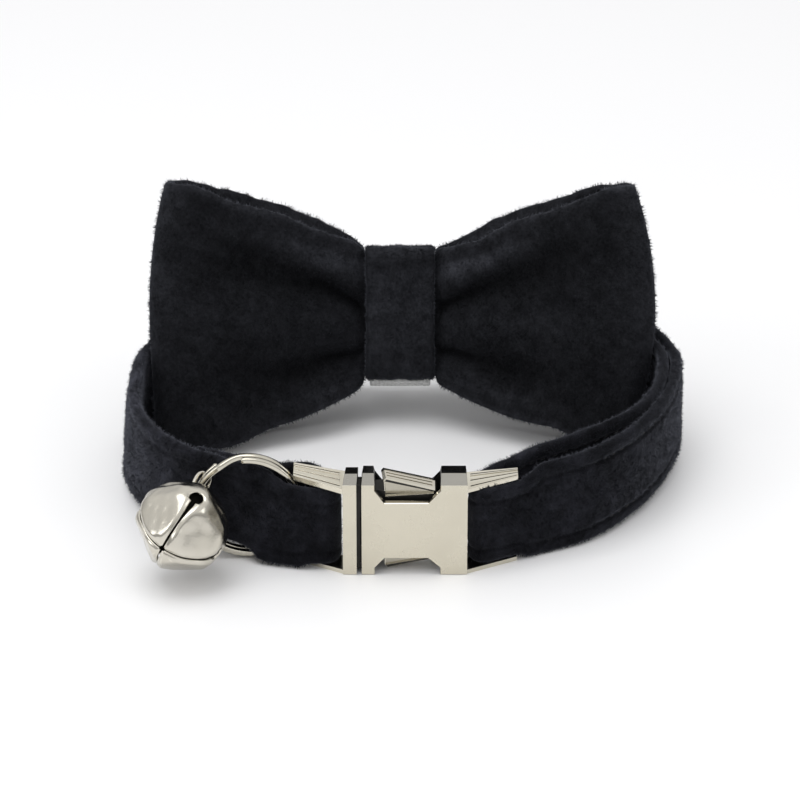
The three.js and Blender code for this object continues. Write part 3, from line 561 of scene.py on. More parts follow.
def fold(rows, at, beside, tail):
    """The turn round a crossbar, from the outer layer's end to where the inner layer starts."""
    middle, _, lean, low, high = (v[0] for v in loop_at(at))
    inner = inner_layer(np.array([beside]), np.array([CLEAR]), tail)[0, :2]
    line = smooth_line([middle, *rows, inner])
    line = at_lengths(np.column_stack([line, headings(line)]), FOLD_STEPS * run_of(line)[-1])
    face = np.sign(middle[0]) * np.column_stack([line[:, 3], -line[:, 2]])
    leaving = ease(FOLD_STEPS, 0, 0.3)
    high = mix(mix(high, SLOT_HIGH, leaving), tail["high"], ease(FOLD_STEPS, 0.74, 1))
    lean_way = np.tile([0.0, 1.0], (len(line), 1))
    low = mix(low, SLOT_LOW, ease(FOLD_STEPS, 0, 0.1))
    return np.column_stack([line[:, :2], face, lean_way, lean * (1 - leaving), low, high])


def stations():
    right = np.arange(RIGHT_TAIL["length"], CLEAR, -STEP)
    left = np.arange(CLEAR, LEFT_TAIL["length"], STEP)
    middle, inward, lean, low, high = loop_at(np.linspace(CLEAR / 2, LOOP_LENGTH - CLEAR / 2, LOOP_STATIONS))
    return np.vstack([
        inner_layer(right, right, RIGHT_TAIL),
        fold(RIGHT_FOLD, 0, CLEAR, RIGHT_TAIL)[::-1],
        np.column_stack([middle, inward, inward, lean, low, high]),
        fold(LEFT_FOLD, LOOP_LENGTH, LOOP_LENGTH - CLEAR, LEFT_TAIL),
        inner_layer(LOOP_LENGTH - left, left, LEFT_TAIL)])


strap_line = stations()
STRAP_LENGTH = run_of(strap_line)[-1]
print("strap cut length:", round(STRAP_LENGTH, 1), "mm")

# %% [markdown]
# The strap's section is a flat oval about 1.7 mm thick. Two rows of stitching, each 2.2 mm in from an
# edge, pull it in, so the edges stand up as soft rolled borders with a broad band between them. The
# band is a little fuller in some places than in others, as any filled cloth is. On the left and near
# the buckle the pile is full and nearly hides the seams.

# %% The strap's skin
SEAM_IN = 2.2
BORDER = 3.6  # how much of each edge keeps its width where the strap is narrower


def strap_point(row, across, up):
    """A point of the strap: across its thickness, and up from its lower edge, both in millimetres."""
    x, y, face_x, face_y, way_x, way_y, lean, low, high = row.T
    shift = lean * (up / (high - low) - 0.5)
    there = x + face_x * across + way_x * shift, y + face_y * across + way_y * shift, rise(y) + low + up
    return np.stack(there, axis=-1)


def half_thickness(up, wide, seam=1):
    """Half the strap's thickness at a height, with its rolled borders and pinched seams."""
    radius = STRAP_THICK / 2
    inside = np.minimum(up, wide - up)
    rounded = np.sqrt(np.clip(1 - ((radius - np.minimum(inside, radius)) / radius) ** 2, 0, 1))
    return radius * rounded * (1 - 0.42 * seam * hump(inside, SEAM_IN, 0.38))


def up_at(level):
    """Height on the strap of a level from 0 to 15: the borders keep their width, and the middle gives."""
    if level < BORDER:
        return level
    if level > STRAP_WIDE - BORDER:
        return wide - (STRAP_WIDE - level)
    return BORDER + (wide - 2 * BORDER) * (level - BORDER) / (STRAP_WIDE - 2 * BORDER)


strap_x, strap_low, wide = strap_line[:, 0], strap_line[:, 7], strap_line[:, 8] - strap_line[:, 7]
front = 1 - ease(strap_line[:, 1], 7, 16)
seam_depth = np.where(strap_x < 0, 0.3, 1 - 0.45 * front)
edge_round, fine_to = STRAP_THICK / 2, SEAM_IN + 1.2
lower = np.concatenate([edge_round * (1 - np.cos(np.linspace(0, np.pi / 2, 6)))[:-1],
                        np.linspace(edge_round, fine_to, 12), np.linspace(fine_to, STRAP_WIDE / 2, 9)[1:]])
levels = np.concatenate([lower, STRAP_WIDE - lower[-2::-1]])
sections = np.stack([strap_point(strap_line, side * half_thickness(up_at(level), wide, seam_depth), up_at(level))
                     for side, order in ((-1, levels), (1, levels[-2:0:-1])) for level in order], axis=1)
full = ripple(sections, 5, 11) * 0.07 + ripple(sections, 1.6, 12) * 0.035
middle = strap_point(strap_line, np.zeros(len(strap_line)), wide / 2)
facing = np.column_stack([strap_line[:, 2:4], np.zeros(len(strap_line))])
outward = np.sign(np.einsum("ijk,ik->ij", sections - middle[:, None], facing))
bare = np.minimum(ease(sections[:, :, 0], 17, 20) + ease(-sections[:, :, 0], 17, 20), 1)  # no unevenness in the slots
sections += (outward * full * bare)[:, :, None] * facing[:, None]
up = sections[:, :, 2] - rise(sections[:, :, 1]) - strap_low[:, None]
from_edge = np.minimum(up, wide[:, None] - up)
# Painted light and shade in the nap's colour, with random tone: painted shade along the seams, a slightly lighter band
# between them, a painted highlight on the far left, painted shade over the right and the front left, and random tone
# from the ripples.
lie = 0.1 * ease(from_edge, 3, 4.5) - 0.7 * seam_depth[:, None] * hump(from_edge, SEAM_IN, 0.35)
lie += 0.3 * ripple(sections * (1, 1, 0.6), 4, 13) + 0.2 * ripple(sections, 1.3, 14)
lie += (0.35 * ease(-strap_x, 30, 40) - 0.62 * ease(strap_x, 10, 38) - 0.15 * (strap_x < -8) * front)[:, None]
strap = piece("strap_cloth", skin(sections), strap_velvet, "strap", "strap_velvet", lie)

# %% [markdown]
# The seams are sewn through, so each shows on both faces. A stitch is a short bent length of thread
# that dips into the cloth at both ends. One stitch is made once, as points in its own little frame,
# and set down along both seams.

# %% Stitches
STITCH, PITCH = 1.5, 2.0
THREAD = 0.13 * np.array([0.7, 1, 1, 1, 0.7])  # radius along a stitch
DIP = np.array([-0.3, -0.02, 0.04, -0.02, -0.3])  # how far it stands off the cloth


def tube(line, radii, count=6):
    """Points and faces of a round tube along a short line."""
    way = unit(np.gradient(line, axis=0))
    side = unit(np.cross(way, [0.3, 0.2, 1.0]))
    turn = np.linspace(0, 2 * np.pi, count, endpoint=False)[:, None]
    round_it = side[:, None] * np.cos(turn) + np.cross(way, side)[:, None] * np.sin(turn)
    return skin(line[:, None] + radii[:, None, None] * round_it)


run = run_of(strap_line)
parts = []
for at in np.arange(3, STRAP_LENGTH - 3, PITCH):
    t = at + np.linspace(-STITCH / 2, STITCH / 2, 5)
    rows = np.stack([np.interp(t, run, column) for column in strap_line.T], axis=1)
    tall = rows[:, 8] - rows[:, 7]
    for seam in (SEAM_IN + 0 * tall, tall - SEAM_IN):
        for side in (-1, 1):
            parts.append(tube(strap_point(rows, side * (half_thickness(seam, tall) + DIP), seam), THREAD))
stitches = piece("strap_stitches", joined(parts), thread)
print("stitches:", len(parts))

# %% [markdown]
# ## The buckle
#
# Both halves are castings with crisp but not sharp edges. Each is made as it would be machined from
# a block: plain prisms joined together, others cut away, and then one narrow bevel along every edge,
# which is what catches the light on real metal. The working mesh is in millimetres, where the
# boolean and bevel tools behave best.

# %% Helpers for cast metal
def prism(outline, axis, low, high, far_outline=None):
    """An outline in the two other axes, in order, drawn out along one axis."""
    ends = ((outline, low), (far_outline or outline, high))
    return skin(np.stack([np.insert(np.asarray(flat, float), axis, level, axis=1) for flat, level in ends]))


def box_of(x0, x1, y0, y1, z0, z1):
    return prism([(x0, y0), (x1, y0), (x1, y1), (x0, y1)], 2, z0, z1)


def rod(x, z, radius, y0, y1, count=32):
    turn = np.linspace(0, 2 * np.pi, count, endpoint=False)
    return prism(np.column_stack([x + radius * np.cos(turn), z + radius * np.sin(turn)]).tolist(), 1, y0, y1)


def shape_of(mesh):
    return np.array([v.co for v in mesh.vertices]), [list(p.vertices) for p in mesh.polygons]


def settled(holder):
    """The object's mesh with its modifiers applied."""
    bpy.context.view_layer.update()
    return bpy.data.meshes.new_from_object(holder.evaluated_get(bpy.context.evaluated_depsgraph_get()))


def machined(start, steps):
    """Joins and cuts shapes one after another. Returns the working object."""
    holder = stood("working", mesh_of("working", *start))
    for action, shape in steps:
        tool = stood("tool", mesh_of("tool", *shape))
        change = holder.modifiers.new(action, "BOOLEAN")
        change.operation, change.object, change.solver = action, tool, "EXACT"
        mesh = settled(holder)
        holder.modifiers.clear()
        holder.data = mesh
        bpy.data.objects.remove(tool)
    return holder


def ground(mesh):
    """Broad faces stay dead flat up to their bevels, and the small ones turn smoothly between them."""
    normals = np.array([f.normal for f in mesh.polygons])
    areas = np.array([f.area for f in mesh.polygons]) * MM**2
    touching = [[] for _ in mesh.vertices]
    for f in mesh.polygons:
        for v in f.vertices:
            touching[v].append(f.index)
    turned = []
    for f in mesh.polygons:
        for v in f.vertices:
            near = [g for g in touching[v] if normals[g] @ normals[f.index] > 0.8]
            soft = (normals[near] * areas[near, None] ** 2).sum(0)
            turned.append(normals[f.index] if areas[f.index] > 1 else soft / np.linalg.norm(soft))
    mesh.normals_split_custom_set(turned)


def cleaned(mesh, least):
    """Merges points closer than the least distance and drops the slivers that cuts leave."""
    edit = bmesh.new()
    edit.from_mesh(mesh)
    bmesh.ops.remove_doubles(edit, verts=edit.verts, dist=least)
    bmesh.ops.dissolve_degenerate(edit, edges=edit.edges, dist=least)
    bmesh.ops.dissolve_limit(edit, verts=edit.verts, edges=edit.edges, angle_limit=math.radians(0.4))
    edit.to_mesh(mesh)
    edit.free()


def cast_piece(name, holder, metals, finish_of, width, **rest):
    """Bevels the working object's edges and makes it a piece. finish_of picks a metal by face."""
    cleaned(holder.data, 0.02)
    bevel = holder.modifiers.new("bevel", "BEVEL")
    bevel.width, bevel.segments, bevel.limit_method, bevel.angle_limit = width, 3, "ANGLE", math.radians(28)
    mesh = settled(holder)
    bpy.data.objects.remove(holder)
    cleaned(mesh, 0.002)
    points, faces = shape_of(mesh)
    made = piece(name, (risen(points), faces), metals[0], **rest)
    ground(made.data)
    for other in metals[1:]:
        made.data.materials.append(other)
    for f, corners in zip(made.data.polygons, faces):
        f.material_index = finish_of(points[corners].mean(0), np.array(f.normal))
    return made


# %% Sizes of the buckle
TALL = 14.5
SOCKET = {"left": SOCKET_LEFT, "right": 10.0, "deep": 7.0, "wall": 0.9}
BAR = {"left": -8.5, "right": -6.45, "deep": 6.5}
LEFT_ARM = {"tip": -15.9, "root_back": 5.1, "tip_back": 8.1, "root_front": 0.4, "tip_front": 4.7,
            "under": 0.5, "thick": 0.65}
RIGHT_ARM = {"tip": 17.6, "root_back": 6.0, "tip_back": 7.5, "root_front": 1.5, "tip_front": 5.3,
             "under": 1.0, "thick": 0.45}
LOW_ARM = {"root_front": 0.4, "tip_front": 4.7, "thick": 0.65}
GROOVE, FINE = 0.1, 0.2  # depths of an arm's channel and of its fine lines
ARM_LINES = [(0.3, 0.78, GROOVE), (0.14, 0.2, FINE), (0.51, 0.57, FINE), (0.84, 0.89, FINE)]  # shares of its depth
ARM_FALL = 0.13  # how the upper arm's top falls towards the front
RISEN = 0.8  # the buckle's upper half stands this much taller than its lower half
CROSSBAR = {"wide": 1.1, "front": 6.2, "back": 7.3, "left": -13.6, "right": 15.4}
NOTCH = {"left": -3.75, "right": 6.0, "floor_left": -2.3, "floor_right": 4.2, "shelf": 13.3, "floor": 11.7}
PIVOT = {"x": -6.15, "z": 11.55, "pin": 0.5, "bore": 0.8, "eye": 1.35}
LEVER = {"front": 1.8, "back": 5.3, "high": 14.6, "low_high": 14.42, "fall": 1.55}
LUG = {"right": -4.7, "low": 10.0, "high": 12.95, "front": 1.2, "back": 5.55, "wall": 0.25}
BEVEL, LEVER_BEVEL = 0.1, 0.09
INSIDE = 1.2  # floor and roof of the room inside


def same(outline):
    return outline


def mirrored(outline):
    """The same outline at the buckle's lower edge."""
    return [(x, TALL - z) for x, z in outline][::-1]


def body_profile(deep):
    """The top face falls towards the front plate over its front half, and a little towards the back."""
    return [(0, 0.15), (0.15, 0), (deep, 0.1), (deep, TALL - 0.55), (deep * 0.45, TALL + 0.1), (0, TALL - 0.4)]


def risen(points):
    """Stretches the buckle up from the notches' floors on, and narrows its hooks towards the rear."""
    x, y, z = points.T
    on_socket = (x > SOCKET["left"] - 0.1) * (x < SOCKET["right"] + 0.05)
    on_bar = (x > BAR["left"] - 0.1) * (x < BAR["right"] + 0.05)
    hooks = np.where(x > 5, (8 - x) / 2 * 0.25, (-4.7 - x) / 0.95 * 0.3) * on_socket
    strip = (0.35 + 0.3 * (BAR["right"] - x) / 2.05) * on_bar
    high = ease(z, 13.5, 14.2) * y / 7
    return np.column_stack([x + high * (hooks + strip), y, z + RISEN * np.clip((z - 10.5) / 3.5, 0, 1)])


# %% [markdown]
# An arm is a flat finger that sweeps back from the buckle's corner. It has a channel pressed along
# its outer face, so it shows as two bright ridges with a fine dark line between them, and narrower
# lines follow its edges. The bottoms of the upper arm's fine lines take the near-black finish,
# painted shade. The crossbar that the strap turns round joins the two tips.

# %% The arms
def arm_steps(root, arm, crossbar_at):
    """The upper and the lower arm and the crossbar between their tips, as shapes to join on."""
    past = root - np.sign(arm["tip"] - root) * 0.6
    made = []
    for upper in (True, False):
        line = arm if upper else {**arm, **LOW_ARM}
        high = TALL - arm["under"] if upper else line["thick"]

        def lane(t, share):
            """A point of the arm's plan: how far along it and how far back, as shares."""
            y0, y1 = (mix(line["root_" + face], line["tip_" + face], t) for face in ("front", "back"))
            return mix(root, line["tip"], t), mix(y0, y1, share)

        def fallen(shape):
            """Leans the upper arm towards the front."""
            x, y = shape[0][:, 0], shape[0][:, 1]
            back = line["root_back"] + (line["tip_back"] - line["root_back"]) * (x - root) / (line["tip"] - root)
            shape[0][:, 2] -= ARM_FALL * (back - y) * upper
            return shape

        inner_end = (past, line["root_front"]), (past, line["root_back"])
        outline = [inner_end[0], lane(0, 0), lane(1, 0), lane(1, 1), lane(0, 1), inner_end[1]]
        cuts = []
        for ahead, behind, depth in ARM_LINES:
            strip = [lane(0.06, ahead), lane(1.15, ahead), lane(1.15, behind), lane(0.06, behind)]
            cuts.append(("DIFFERENCE", fallen(prism(strip, 2, *((high - depth, high + 1) if upper else (-1, depth))))))
        finger = machined(fallen(prism(outline, 2, high - line["thick"], high)), cuts)
        made.append(("UNION", shape_of(finger.data)))
        bpy.data.objects.remove(finger)
    top = TALL - arm["under"] - arm["thick"] / 2
    crossbar = box_of(crossbar_at, crossbar_at + CROSSBAR["wide"], CROSSBAR["front"], CROSSBAR["back"],
                      LOW_ARM["thick"] / 2, top)
    return [*made, ("UNION", crossbar)]


# %% [markdown]
# The socket is a flat box, open to the left, with a notch in its upper and lower edges for the two
# levers. A narrow slanted rim runs round each notch on the front plate.

# %% The socket
BUCKLE_METALS = [metal[name] for name in ("buckle", "painted_shade", "polished", "painted_reflection")]


def half_finish(left, edge, arm):
    """Finish of a half's face: 0 satin, 1 near black, painted shade inside the half and at the bottoms of the upper
    arm's fine lines, 2 polished, 3 grey, a painted reflection on the front of the top face over the front plate.
    """
    def finish_of(middle, normal):
        x, y, z = middle
        inside = left < x < 7 and 0.6 < y < 6.4 and 0.5 < z < TALL - 0.5
        back = np.interp(abs(x), sorted((abs(edge), abs(arm["tip"]))), (arm["root_back"], arm["tip_back"]))
        sunk = TALL - arm["under"] - ARM_FALL * (back - y) - z
        if inside or (abs(normal[2]) > 0.9 and abs(sunk - FINE) < 0.03 and abs(x) > abs(edge)):
            return 1
        if -0.4 < normal[1] < -0.05 and normal[2] > 0.9 and z > TALL - 0.6 and abs(x) < abs(edge):
            return 3
        return 0 if normal[1] < -0.98 else 2
    return finish_of


def notch(grow=0.0):
    left, right, shelf, past = NOTCH["left"] - grow, NOTCH["right"] + grow, NOTCH["shelf"] - grow * 0.3, TALL + 1
    floor = NOTCH["floor"] - grow
    return [(left, past), (left, shelf), (NOTCH["floor_left"] - grow * 0.5, floor),
            (NOTCH["floor_right"] + grow * 0.5, floor), (right, shelf), (right, past)]


steps = arm_steps(SOCKET["right"], RIGHT_ARM, CROSSBAR["right"])
wall = SOCKET["wall"]
room = box_of(SOCKET["left"] - 1, NOTCH["right"], wall, SOCKET["deep"] - wall, INSIDE, TALL - INSIDE)
steps.append(("DIFFERENCE", room))
for flip in (same, mirrored):
    steps.append(("DIFFERENCE", prism(flip(notch()), 1, -1, SOCKET["deep"] + 1)))
    steps.append(("DIFFERENCE", prism(flip(notch(0.12)), 1, -0.1, 0.2, flip(notch(-0.05)))))
socket = cast_piece(
    "socket_body", machined(prism(body_profile(SOCKET["deep"]), 0, SOCKET["left"], SOCKET["right"]), steps),
    BUCKLE_METALS, half_finish(-5.9, SOCKET["right"], RIGHT_ARM), BEVEL,
    stands_for="buckle_socket", slot="buckle_metal")

# %% [markdown]
# The tongue is a narrow bar behind its own strip of front plate. Its two lugs reach into the socket
# and carry the pins that the levers turn on. A web between the levers closes the view through. It
# narrows, to leave room for both levers to be pressed.

# %% The tongue
joint = BAR["right"] - 1
room = box_of(BAR["left"] + 0.75, BAR["right"] + 1, LUG["front"] + 0.1, LUG["back"] + 0.1, INSIDE, TALL - INSIDE)
steps = [("DIFFERENCE", room), *arm_steps(BAR["left"], LEFT_ARM, CROSSBAR["left"])]
# The web and the face behind the gap lie inside the half and take its near-black finish, painted shade where the gap
# between the halves shows.
web = [(joint, 9.7), (LUG["right"], 9.6), (NOTCH["right"] - 0.6, 7.5)]
steps.append(("UNION", prism([*web, *mirrored(web)], 1, 2.4, 4.2)))
steps.append(("UNION", box_of(joint, SOCKET["left"] - 0.2, 0.95, 1.5, 0.7, TALL - 0.75)))  # the face behind the gap
for flip in (lambda z: z, lambda z: TALL - z):
    z0, z1 = sorted((flip(LUG["low"]), flip(LUG["high"])))
    for y in (LUG["front"], LUG["back"]):
        steps.append(("UNION", box_of(joint, LUG["right"], y, y + LUG["wall"], z0, z1)))
    steps.append(("UNION", rod(PIVOT["x"], flip(PIVOT["z"]), PIVOT["pin"], LUG["front"] + 0.1, LUG["back"] + 0.1)))
tongue = cast_piece(
    "tongue_body", machined(prism(body_profile(BAR["deep"]), 0, BAR["left"], BAR["right"]), steps),
    BUCKLE_METALS, half_finish(-6.7, BAR["left"], LEFT_ARM), BEVEL,
    stands_for="buckle_tongue", slot="tongue_metal")

# %% [markdown]
# A release lever is an eye on its pin, a short neck and a barb that stands up in the notch. The
# barb's outer face has fine ridges along it for a fingertip, and its front has a long sunk panel
# that narrows with the barb. Each lever rides on its own body.

# %% The levers
def lever(side, flip, outer):
    x, z = flip([(PIVOT["x"], PIVOT["z"])])[0]
    left, front, back = NOTCH["left"], LEVER["front"], LEVER["back"]
    body_line = [
        (x, PIVOT["z"] - 1.1), (x, 12.75), (left + 0.55, 12.75), (left + 1.45, 13.0), (left + 1.45, outer - 0.4),
        (left + 1.95, outer), (5.2, outer - LEVER["fall"]), (5.5, outer - 1.9), (5.5, 10.6), (5.1, 10.3)]
    panel = [(left + 1.6, outer - 0.7), (5.0, outer - 2.05), (5.0, outer - 2.3), (left + 1.6, 11.9)]
    steps = [("UNION", rod(x, z, PIVOT["eye"], front, back)), ("DIFFERENCE", rod(x, z, PIVOT["bore"], -1, 8)),
             ("DIFFERENCE", prism(flip(panel), 1, front - 1, front + 0.35))]
    slope = -LEVER["fall"] / (5.2 - (left + 1.95))
    for y in (2.7, 3.5, 4.3):  # grooves between the ridges
        start, end = ((x, outer + slope * (x - left - 1.95) - 0.1 * (4.2 - y)) for x in (left + 2.2, 4.8))
        groove = [(start[0], start[1] - 0.12), (end[0], end[1] - 0.12), (end[0], end[1] + 1), (start[0], start[1] + 1)]
        steps.append(("DIFFERENCE", prism(flip(groove), 1, y, y + 0.28)))

    def level(y, drop):
        """The lever's outline at a depth, with its outer edge taken down."""
        line = [(x, z - drop * (x > left + 1) * (z > 12.3)) for x, z in body_line]
        return np.insert(np.array(flip(line)), 1, y, axis=1)

    def finish_of(middle, normal):
        """0 bright, 1 near black on the neck and the eye, painted shade where they sit in the socket, 2 darker in the
        sunk panel.
        """
        return 1 if middle[0] < left + 1.3 else 2 if normal[1] < -0.9 and middle[1] > front + 0.2 else 0

    block = skin(np.stack([level(front, 0.36), level(front + 0.15, 0.23), level(back - 1.1, 0), level(back, 0.15)]))
    return cast_piece(side + "_lever", machined(block, steps), [metal["lever"], metal["painted_shade"], metal["panel"]],
                      finish_of, LEVER_BEVEL, stands_for="lever_" + side, slot="lever_metal", body=side + "_release")


upper_lever = lever("upper", same, LEVER["high"])
lower_lever = lever("lower", mirrored, LEVER["low_high"])

# %% [markdown]
# ## The split ring
#
# Two flat turns of wire lie against each other. The wire steps from the front turn to the back one
# over the last part of its run, and its ends are cut square where that step begins and ends.

# %% The split ring
RING = {"at": (-22.8, 6.3, 8.55), "yaw": 0.02, "radius": 7.75, "radial": 0.9, "axial": 1.05, "turns": 1.92, "cut": 1.68}
TURN_GAP = 0.2  # between the two turns
ring_across = np.array([math.cos(RING["yaw"]), math.sin(RING["yaw"]), 0])
ring_axis = np.array([-math.sin(RING["yaw"]), math.cos(RING["yaw"]), 0])


def opened(*values):
    """Each value with one axis more, ready to be multiplied by a direction."""
    return (np.asarray(v, float)[..., None] for v in values)


def ring_point(angle, radius, shift):
    angle, radius, shift = opened(angle, radius, shift)
    upwards = np.array([0, 0, 1]) * radius * np.sin(angle)
    return np.array(RING["at"]) + ring_across * radius * np.cos(angle) + upwards + ring_axis * shift


def rounded_section(across, along, radius, steps):
    corner = np.linspace(0, np.pi / 2, steps + 1)
    out = []
    for k, (sx, sy) in enumerate(((1, 1), (-1, 1), (-1, -1), (1, -1))):
        a, x, y = corner + k * np.pi / 2, sx * (across / 2 - radius), sy * (along / 2 - radius)
        out.append(np.column_stack([x + radius * np.cos(a), y + radius * np.sin(a)]))
    return np.vstack(out)


turns = np.linspace(0, RING["turns"], 360)
half = (RING["axial"] + TURN_GAP) / 2
shift = -half + 2 * half * ease(turns, RING["turns"] - 1, 1)
to_end = np.minimum(turns, RING["turns"] - turns)
filed = np.minimum(1, 0.8 + 0.2 * np.sqrt(np.clip(to_end / 0.006, 0, 1)))  # the wire is thinner at its very ends
wire = rounded_section(RING["radial"], RING["axial"], 0.3, 4) * filed[:, None, None]
angle = RING["cut"] - turns * 2 * np.pi
sections = ring_point(angle[:, None], RING["radius"] + wire[..., 0], shift[:, None] + wire[..., 1])
ring = piece("ring_wire", skin(sections), metal["ring"], "split_ring", "ring_metal")

# %% [markdown]
# ## The bell
#
# The shell is pressed from one disc whose four slits leave four petals. The petals are bent in until
# they nearly meet, so their edges turn inwards, their faces are a little flat, and each slit ends in
# a keyhole. Each petal is a grid from the slits' crossing to the crown, and its two sides follow the
# slit's half width. Above the keyholes that width is nothing and the grids close up into the cap.

# %% The bell's frame
BELL = {"radius": 7.0, "wall": 0.5, "slit": 0.3, "slit_end": -0.7, "keyhole": 1.1, "reach": 2.3, "slack": 0.15}
BELL_LOOP = {"away": 9.2, "along": 2.0, "across": 1.15, "wire": 0.3}
LINK_ANGLE = math.radians(150)
BELL_AXIS, BELL_HANG = unit((0.38, 0.925, 0.06)), unit((0.28, 0.9, 0.33))
SLIT_WAY = np.array([0.255, -0.528, 0.809])
link = ring_point(LINK_ANGLE, RING["radius"], 0)
bell_centre = link - BELL_HANG * (BELL["radius"] + BELL["reach"] + BELL["slack"])
bell_side = unit(SLIT_WAY - BELL_AXIS * (SLIT_WAY @ BELL_AXIS))
bell_other = np.cross(BELL_AXIS, bell_side)
print("bell's middle:", np.round(bell_centre, 2))


def in_bell(local):
    return bell_centre + local[..., :1] * bell_side + local[..., 1:2] * bell_other + local[..., 2:3] * BELL_AXIS


# %% The bell's shell
FLATS = [  # tilt from the slits' crossing, and each petal's own swing and share of the radius
    (50, (45, 48, 42, 45), (0.86, 0.88, 0.84, 0.87)), (84, (38, 52, 47, 44), (0.93, 0.92, 0.94, 0.93)),
    (122, (30, 60, 40, 52), (0.93, 0.95, 0.94, 0.95))]
QUARTER = math.pi / 4  # half a petal's share of the round
RADIUS = BELL["radius"]
SLIT_END = math.pi / 2 + BELL["slit_end"] / RADIUS  # as an angle from the slits' crossing
KEYHOLE = BELL["keyhole"] / RADIUS


def fuller(v):
    """Brings values from -1 to 1 nearer to both ends."""
    return np.sign(v) * np.abs(v) ** 0.75


def on_sphere(theta, phi):
    """Unit direction at an angle from the slits' crossing and an angle round the bell's axis."""
    parts = np.sin(theta) * np.cos(phi), np.sin(theta) * np.sin(phi), -np.cos(theta)
    return np.stack(np.broadcast_arrays(*parts), axis=-1)


def slit_gap(theta):
    """Half the width of a slit, which widens towards its keyhole, or of that keyhole."""
    reach = (theta - SLIT_END) * RADIUS
    slit = BELL["slit"] * (0.6 + 0.8 * ease(theta, 0.7, SLIT_END)) * (reach < 0)
    return slit if abs(reach) >= BELL["keyhole"] else math.sqrt(max(BELL["keyhole"] ** 2 - reach**2, slit**2))


def petal_row(theta, quarter):
    """A petal's points from one slit to the next."""
    gap, size = slit_gap(theta), RADIUS * math.sin(theta)
    phi = QUARTER + across_petal * (QUARTER - math.asin(min(gap / max(size, 1e-6), 0.7071)))
    to_slit = np.minimum(np.abs(np.sin(phi)), np.abs(np.cos(phi))) * size - gap
    turned_in = 0.3 * hump(to_slit, 0, 0.4) * (1 - ease(theta, SLIT_END + 0.02, SLIT_END + KEYHOLE + 0.12))
    way, r = on_sphere(theta, phi), RADIUS
    for tilt, swing, level in FLATS:  # each flat cuts the ball softly
        flat_way = on_sphere(math.radians(tilt), math.radians(swing[quarter]))
        plane = level[quarter] * RADIUS / np.maximum(way @ flat_way, 0.05)
        r = -np.log(np.exp(-6 * r) + np.exp(-6 * plane)) / 6
    bent = 0.35 * hump(theta, 1.8, 0.1) * np.cos(2 * (phi - QUARTER)) ** 2
    x, y, z = (way * (r - turned_in - bent)[:, None]).T
    turn = quarter * math.pi / 2
    return np.column_stack([x * math.cos(turn) - y * math.sin(turn), x * math.sin(turn) + y * math.cos(turn), z])


def at_crown(vert):
    """True at the small hole that the grids leave round the axis."""
    local = np.array(vert.co) - bell_centre
    return np.linalg.norm(np.cross(local, BELL_AXIS)) < 0.5 and local @ BELL_AXIS > 5


first = math.asin(BELL["slit"] / math.sin(QUARTER) / RADIUS) + 0.01
polar = np.concatenate([np.linspace(first, SLIT_END - KEYHOLE, 34)[:-1],
                        np.linspace(SLIT_END - KEYHOLE, SLIT_END + KEYHOLE, 26)[:-1],
                        np.linspace(SLIT_END + KEYHOLE, math.pi - 0.02, 30)])
across_petal = fuller(np.linspace(-1, 1, 41))  # more points beside the slits
local = np.array([petal_row(theta, quarter) for quarter in range(4) for theta in polar]).reshape(-1, 3)
local *= (1 + 0.008 * ripple(local, 2.4, 31) + 0.003 * ripple(local, 1.0, 32))[:, None]
n = np.arange(len(local)).reshape(4, len(polar), -1)
grid = np.stack([n[:, :-1, :-1], n[:, 1:, :-1], n[:, 1:, 1:], n[:, :-1, 1:]], axis=-1).reshape(-1, 4).tolist()
shell = bpy.data.meshes.new("working")
shell.from_pydata(in_bell(local).tolist(), [], grid)
edit = bmesh.new()
edit.from_mesh(shell)
bmesh.ops.remove_doubles(edit, verts=edit.verts, dist=0.012)
bmesh.ops.holes_fill(edit, edges=[e for e in edit.edges if e.is_boundary and all(map(at_crown, e.verts))])
bmesh.ops.recalc_face_normals(edit, faces=edit.faces)
outward = [f.normal.dot(f.calc_center_median() - Vector(bell_centre)) > 0 for f in edit.faces]
if sum(outward) <= len(outward) / 2:
    bmesh.ops.reverse_faces(edit, faces=edit.faces)
edit.to_mesh(shell)
edit.free()
shell.materials.append(metal["bell"])
# The inner faces take a near-black finish, painted shade inside the bell.
shell.materials.append(metal["bell_painted_shade"])
holder = stood("working", shell)
wall = holder.modifiers.new("wall", "SOLIDIFY")
wall.thickness, wall.offset, wall.use_even_offset, wall.material_offset = BELL["wall"], -1, True, 1
pressed = settled(holder)
bpy.data.objects.remove(holder)

# %% [markdown]
# The loop is a wire staple through the crown, bent over towards the ring. It hooks round both turns
# of the ring.

# %% The bell's loop
wire_way = ring_point(LINK_ANGLE + 0.01, 1, 0) - ring_point(LINK_ANGLE, 1, 0)
facing = unit(wire_way - BELL_HANG * (wire_way @ BELL_HANG))
loop_side = np.cross(BELL_HANG, facing)
turn = np.linspace(0, 2 * np.pi, 56, endpoint=False)[:, None]
small = np.linspace(0, 2 * np.pi, 16, endpoint=False)[:, None]
spoke = loop_side * np.cos(turn) + BELL_HANG * np.sin(turn)
bend = (bell_centre + BELL_HANG * BELL_LOOP["away"] + loop_side * (BELL_LOOP["across"] * fuller(np.cos(turn)))
        + BELL_HANG * (BELL_LOOP["along"] * fuller(np.sin(turn))))
round_wire = BELL_LOOP["wire"] * (spoke[:, None] * np.cos(small) + facing * np.sin(small))
staple = skin(bend[:, None] + round_wire, closed=True)
bell = piece("bell_pressing", joined([shape_of(pressed), staple]), metal["bell"], "bell_shell", "bell_metal")
bell.data.materials.append(metal["bell_painted_shade"])
sides = [p.material_index for p in pressed.polygons]
bell.data.polygons.foreach_set("material_index", sides + [0] * len(staple[1]))

# %% [markdown]
# ## The bow tie
#
# The bow is one flat padded band of velvet, closed into a loop, pressed flat and drawn together at
# its middle. That gives two wings, each with a front and a back panel, whose pleats run out from the
# knot and fade before the ends. The band is followed round in plan, by its distance out from the
# knot, how far forward it is, how tall it is and how deep its pleats are.

